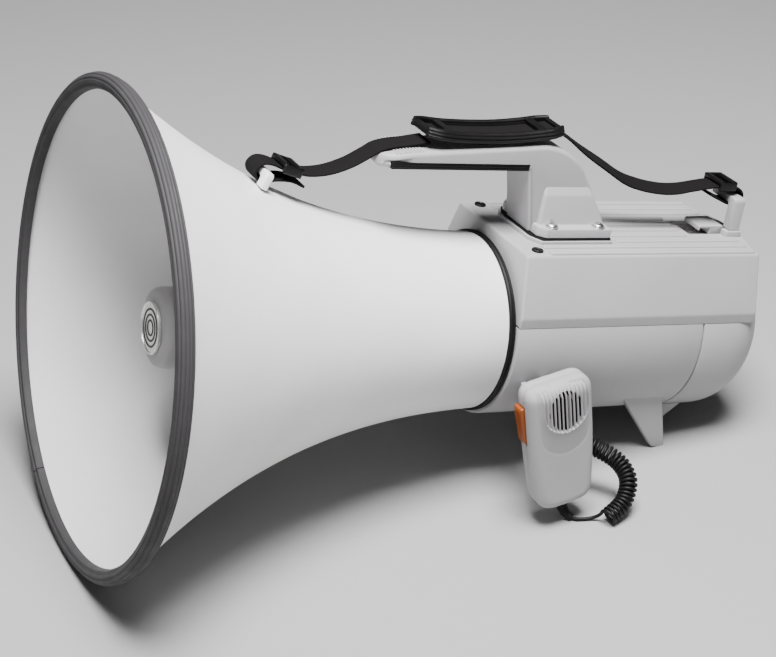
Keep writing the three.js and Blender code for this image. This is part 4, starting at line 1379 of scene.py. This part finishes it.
def web(name, run, count=160, replaces=(), half=STRAP_WIDTH / 2, twist=None):
    """A length of webbing with rolled edges. Gives the piece and its length."""
    path = smooth_path(run, count)
    t = WEB_THICKNESS / 2
    section = rectangle(-half, half, -t, t, 0.7)
    shape = strip(path, section, path_normals(path), twist)
    strap = piece(name, shape, "black_webbing", replaces=replaces, crease=60)
    return strap, unwrap(strap, path)


def unwrap(strap, path):
    """UVs in millimetres: u is the place across the strap and v the distance along the path.

    Gives the path's length.
    """
    reach = [0.0]
    for a, b in zip(path, path[1:]):
        reach.append(reach[-1] + (b - a).length)
    layer = strap.data.uv_layers.new(name="weave")
    back = HORN.inverted()
    spots = [back @ v.co for v in strap.data.vertices]
    per_ring = len(spots) // len(path)
    for loop in strap.data.loops:
        along = reach[min(loop.vertex_index // per_ring, len(path) - 1)]
        layer.data[loop.index].uv = (spots[loop.vertex_index].x, along)
    return reach[-1]


def rear_twist(share):
    """The rear half of the strap hangs a little twisted between the pad and its slider."""
    return radians(15) * sin(pi * min(share / 0.6, 1)) ** 0.8


def straps():
    """Both halves of the strap. Each is sewn round a hook and runs to the pad."""
    halves = (
        ("strap_front", FRONT_RUN, "front_hook", None),
        ("strap_rear", REAR_RUN, "rear_hook", rear_twist),
    )
    for node, run, hook, twist in halves:
        strap, length = web(f"{node}_web", run, replaces=[node], twist=twist)


def slider(name, y, z, slope, replaces):
    """A three-bar slider, with fat rounded bars."""
    inner = STRAP_WIDTH / 2 + 0.5
    reach = inner + 0.8
    rails = [
        block(*sorted((side * inner, side * (inner + 2))), -6.2, 6.2, -2, 3.6, 0.9, 1.1)
        for side in (-1, 1)
    ]
    bars = [
        slab(rectangle(v - 1.7, v + 1.7, 1.2, 3.9, 0.8, 1.1, steps=4), "X", -reach, reach, 0.2)
        for v in (-4.7, 4.7)
    ]
    middle = slab(rectangle(-1.6, 1.6, -2, -0.9, 0.4), "X", -reach, reach, 0)
    place = HORN @ Matrix.Translation((0, y, z)) @ Matrix.Rotation(slope, 4, "X")
    piece(name, joined(*rails, *bars, middle), "black_plastic", place=place, replaces=replaces)


def pad_strip(path, section, start, end, widths=None):
    """A section swept along part of the pad, from one share of its length to another."""
    last = len(path) - 1
    chosen = slice(round(start * last), round(end * last) + 1)
    spine = path[chosen]
    verts, faces = strip(spine, section, path_normals(path)[chosen])
    if widths:
        for i, v in enumerate(verts):
            share = start + (end - start) * (i // len(section)) / (len(spine) - 1)
            v.x *= widths(share)
    return verts, faces


def pad_width(share):
    """The pad narrows over its last few millimetres at both ends."""
    edge = min(share, 1 - share)
    return 1 - 0.2 * max(0, 1 - edge / 0.09) ** 1.3


def shoulder_pad():
    """A moulded pad: a floor, two rails with grooved sides, and bars that the strap runs under."""
    path = smooth_path(PAD_RUN, 91)
    floor_section = rectangle(-13.4, 13.4, 0.2, 2, 0.5, 0.3)
    rail = rounded([
        (9.2, 1), (13.2, 0.4, 0.4), (14.6, 1.1, 0.5), (14.6, 2.1, 0.3), (13.7, 2.5, 0.2),
        (13.7, 2.9, 0.2), (14.2, 3.3, 0.3), (14, 3.9, 0.3), (13.1, 4.3, 0.2), (13.1, 4.7, 0.2),
        (13.3, 5.1, 0.3), (12.2, 6.4, 0.7), (9.9, 6.4, 0.5), (9.2, 5.6, 0.3),
    ], 3)
    bar = rectangle(-11, 11, 2.9, 6.1, 0.3, 0.8)
    low_bar = rectangle(-10.5, 10.5, 2.6, 5.2, 0.3, 0.6)
    frame_section = [(7.6, 2), (9.4, 2), (9.4, 4.6), (8.2, 4.6)]
    sides = [[(side * p.x, p.y) for p in rail] for side in (-1, 1)]
    shapes = [pad_strip(path, floor_section, 0.02, 0.98, pad_width)]
    shapes += [pad_strip(path, side, 0, 1, pad_width) for side in sides]
    shapes += [pad_strip(path, bar, *span, pad_width) for span in ((0.12, 0.18), (0.82, 0.88))]
    shapes += [pad_strip(path, low_bar, *span, pad_width) for span in ((0, 0.035), (0.965, 1))]
    for side in (-1, 1):
        shapes.append(pad_strip(path, [(side * x, z) for x, z in frame_section], 0.18, 0.82))
    piece("pad_body", joined(*shapes), "black_plastic", replaces=["shoulder_pad"])
    web("pad_web", [(y, z + 2.9) for y, z in PAD_RUN], 60, half=STRAP_WIDTH / 2 + 0.6)


straps()
slider("front_slider", 104.5, 96.6, -0.29, ["tri_glide_front"])
slider("rear_slider", 404, 90.3, 0, ["tri_glide_rear"])
shoulder_pad()

# ---------------------------------------------------------------- controls on the far side


def volume_knob():
    """A fluted cap with a raised pointer, and a ring of ticks round it."""
    points, flutes = 192, 24
    levels = (
        (0.8, 10.6, 0), (1.4, 11.2, 0.1), (2, 11.2, 0.5),
        (11.6, 10.4, 0.45), (12.7, 9.7, 0.1), (13, 9, 0),
    )
    turns = [2 * pi * i / points for i in range(points)]
    rings = []
    for z, radius, depth in levels:
        flute = [depth * (0.5 + 0.5 * cos(flutes * turn)) for turn in turns]
        rings.append([turned_point(radius - cut, z, turn, "Z") for cut, turn in zip(flute, turns)])
    pointer = block(-0.8, 0.8, 3, 9.6, 12.6, 13.9, 0.4)
    piece("volume_cap", joined(loft(rings), pointer), "black_plastic", body="volume_knob", place=KNOB,
          replaces=["volume_knob"])
    tick = block(-0.4, 0.4, 12.6, 14.8, -0.2, 0.35, 0.15)
    ticks = [moved(tick, Matrix.Rotation(radians(150 - 30 * i), 4, "Z")) for i in range(11)]
    piece("volume_ticks", joined(*ticks), "housing_grey", place=KNOB)


def siren_switch():
    """A ridged slider cap in its well."""
    ridges = [block(-3.2, 3.2, y, y + 0.9, 4, 5, 0.3) for y in (-3.6, -1.8, 0, 1.8, 3.6)]
    cap = block(-3.6, 3.6, -5, 5, 0.4, 4.6, 0.7, 1)
    piece("siren_cap", joined(cap, *ridges), "orange_plastic", body="siren_switch", place=SWITCH,
          replaces=["siren_switch"])


def jack_cover():
    """A rubber plug with a pull tab."""
    cover = soft_lathe([(0, 0.3), (7, 0.3), (7, 1.6, 0.5), (6, 2.8, 0.8), (0, 2.8)], 48, "Z")
    tab = block(-2.4, 2.4, 5.5, 10, 0.4, 1.8, 0.5, 1.6)
    piece("jack_plug", joined(cover, tab), "black_rubber", place=JACK, replaces=["jack_cover"])


def soften_cad_nodes():
    """The machined and moulded pieces that are shown as packed get a fine edge."""
    plain = ("handset_hanger", "heatsink", "amplifier_board", "battery_contact_plate", "battery_tray")
    for name in plain:
        edge = frame["nodes"][name].modifiers.new("edge", "BEVEL")
        edge.width = 0.0004
        edge.segments = 2
        edge.limit_method = "ANGLE"


volume_knob()
siren_switch()
jack_cover()
soften_cad_nodes()

# ---------------------------------------------------------------- stage


def floor():
    """A sheet of grey paper under the megaphone."""
    n = Nodes("floor_paper")
    n.set(Base_Color=(0.34, 0.34, 0.34), Roughness=0.8)
    half = 2
    corners = [(-half, -half, 0), (half, -half, 0), (half, half, 0), (-half, half, 0)]
    mesh = bpy.data.meshes.new("floor")
    mesh.from_pydata(corners, [], [(0, 1, 2, 3)])
    mesh.materials.append(n.material)
    made = bpy.data.objects.new("floor", mesh)
    bpy.context.scene.collection.objects.link(made)


def softbox(name, at, aim, size, power):
    """A rectangular light that faces a point."""
    data = bpy.data.lights.new(name, "AREA")
    data.shape = "RECTANGLE"
    data.size, data.size_y = size
    data.energy = power
    lamp = bpy.data.objects.new(name, data)
    lamp.location = at
    lamp.rotation_euler = (Vector(aim) - Vector(at)).to_track_quat("-Z", "Y").to_euler()
    bpy.context.scene.collection.objects.link(lamp)


def backdrop():
    """A dim room overhead that is pale round the horizon, as a lit studio wall is."""
    world = bpy.data.worlds.new("studio")
    world.use_nodes = True
    nodes, links = world.node_tree.nodes, world.node_tree.links
    where = nodes.new("ShaderNodeTexCoord")
    parts = nodes.new("ShaderNodeSeparateXYZ")
    fade = nodes.new("ShaderNodeMapRange")
    for name, value in (("From Min", 0.02), ("From Max", 0.16), ("To Min", 0.3), ("To Max", 0.04)):
        fade.inputs[name].default_value = value
    links.new(where.outputs["Generated"], parts.inputs[0])
    links.new(parts.outputs["Z"], fade.inputs["Value"])
    links.new(fade.outputs["Result"], nodes["Background"].inputs["Strength"])
    nodes["Background"].inputs["Color"].default_value = (1, 1, 1, 1)
    bpy.context.scene.world = world


def studio():
    floor()
    backdrop()
    softbox("key", (0.42, -0.1, 1.7), (0, 0, 0.14), (0.75, 0.75), 108)
    softbox("fill", (1.6, -1, 0.8), (0, 0, 0.12), (0.8, 0.8), 2.5)


studio()
paint_cad_nodes()
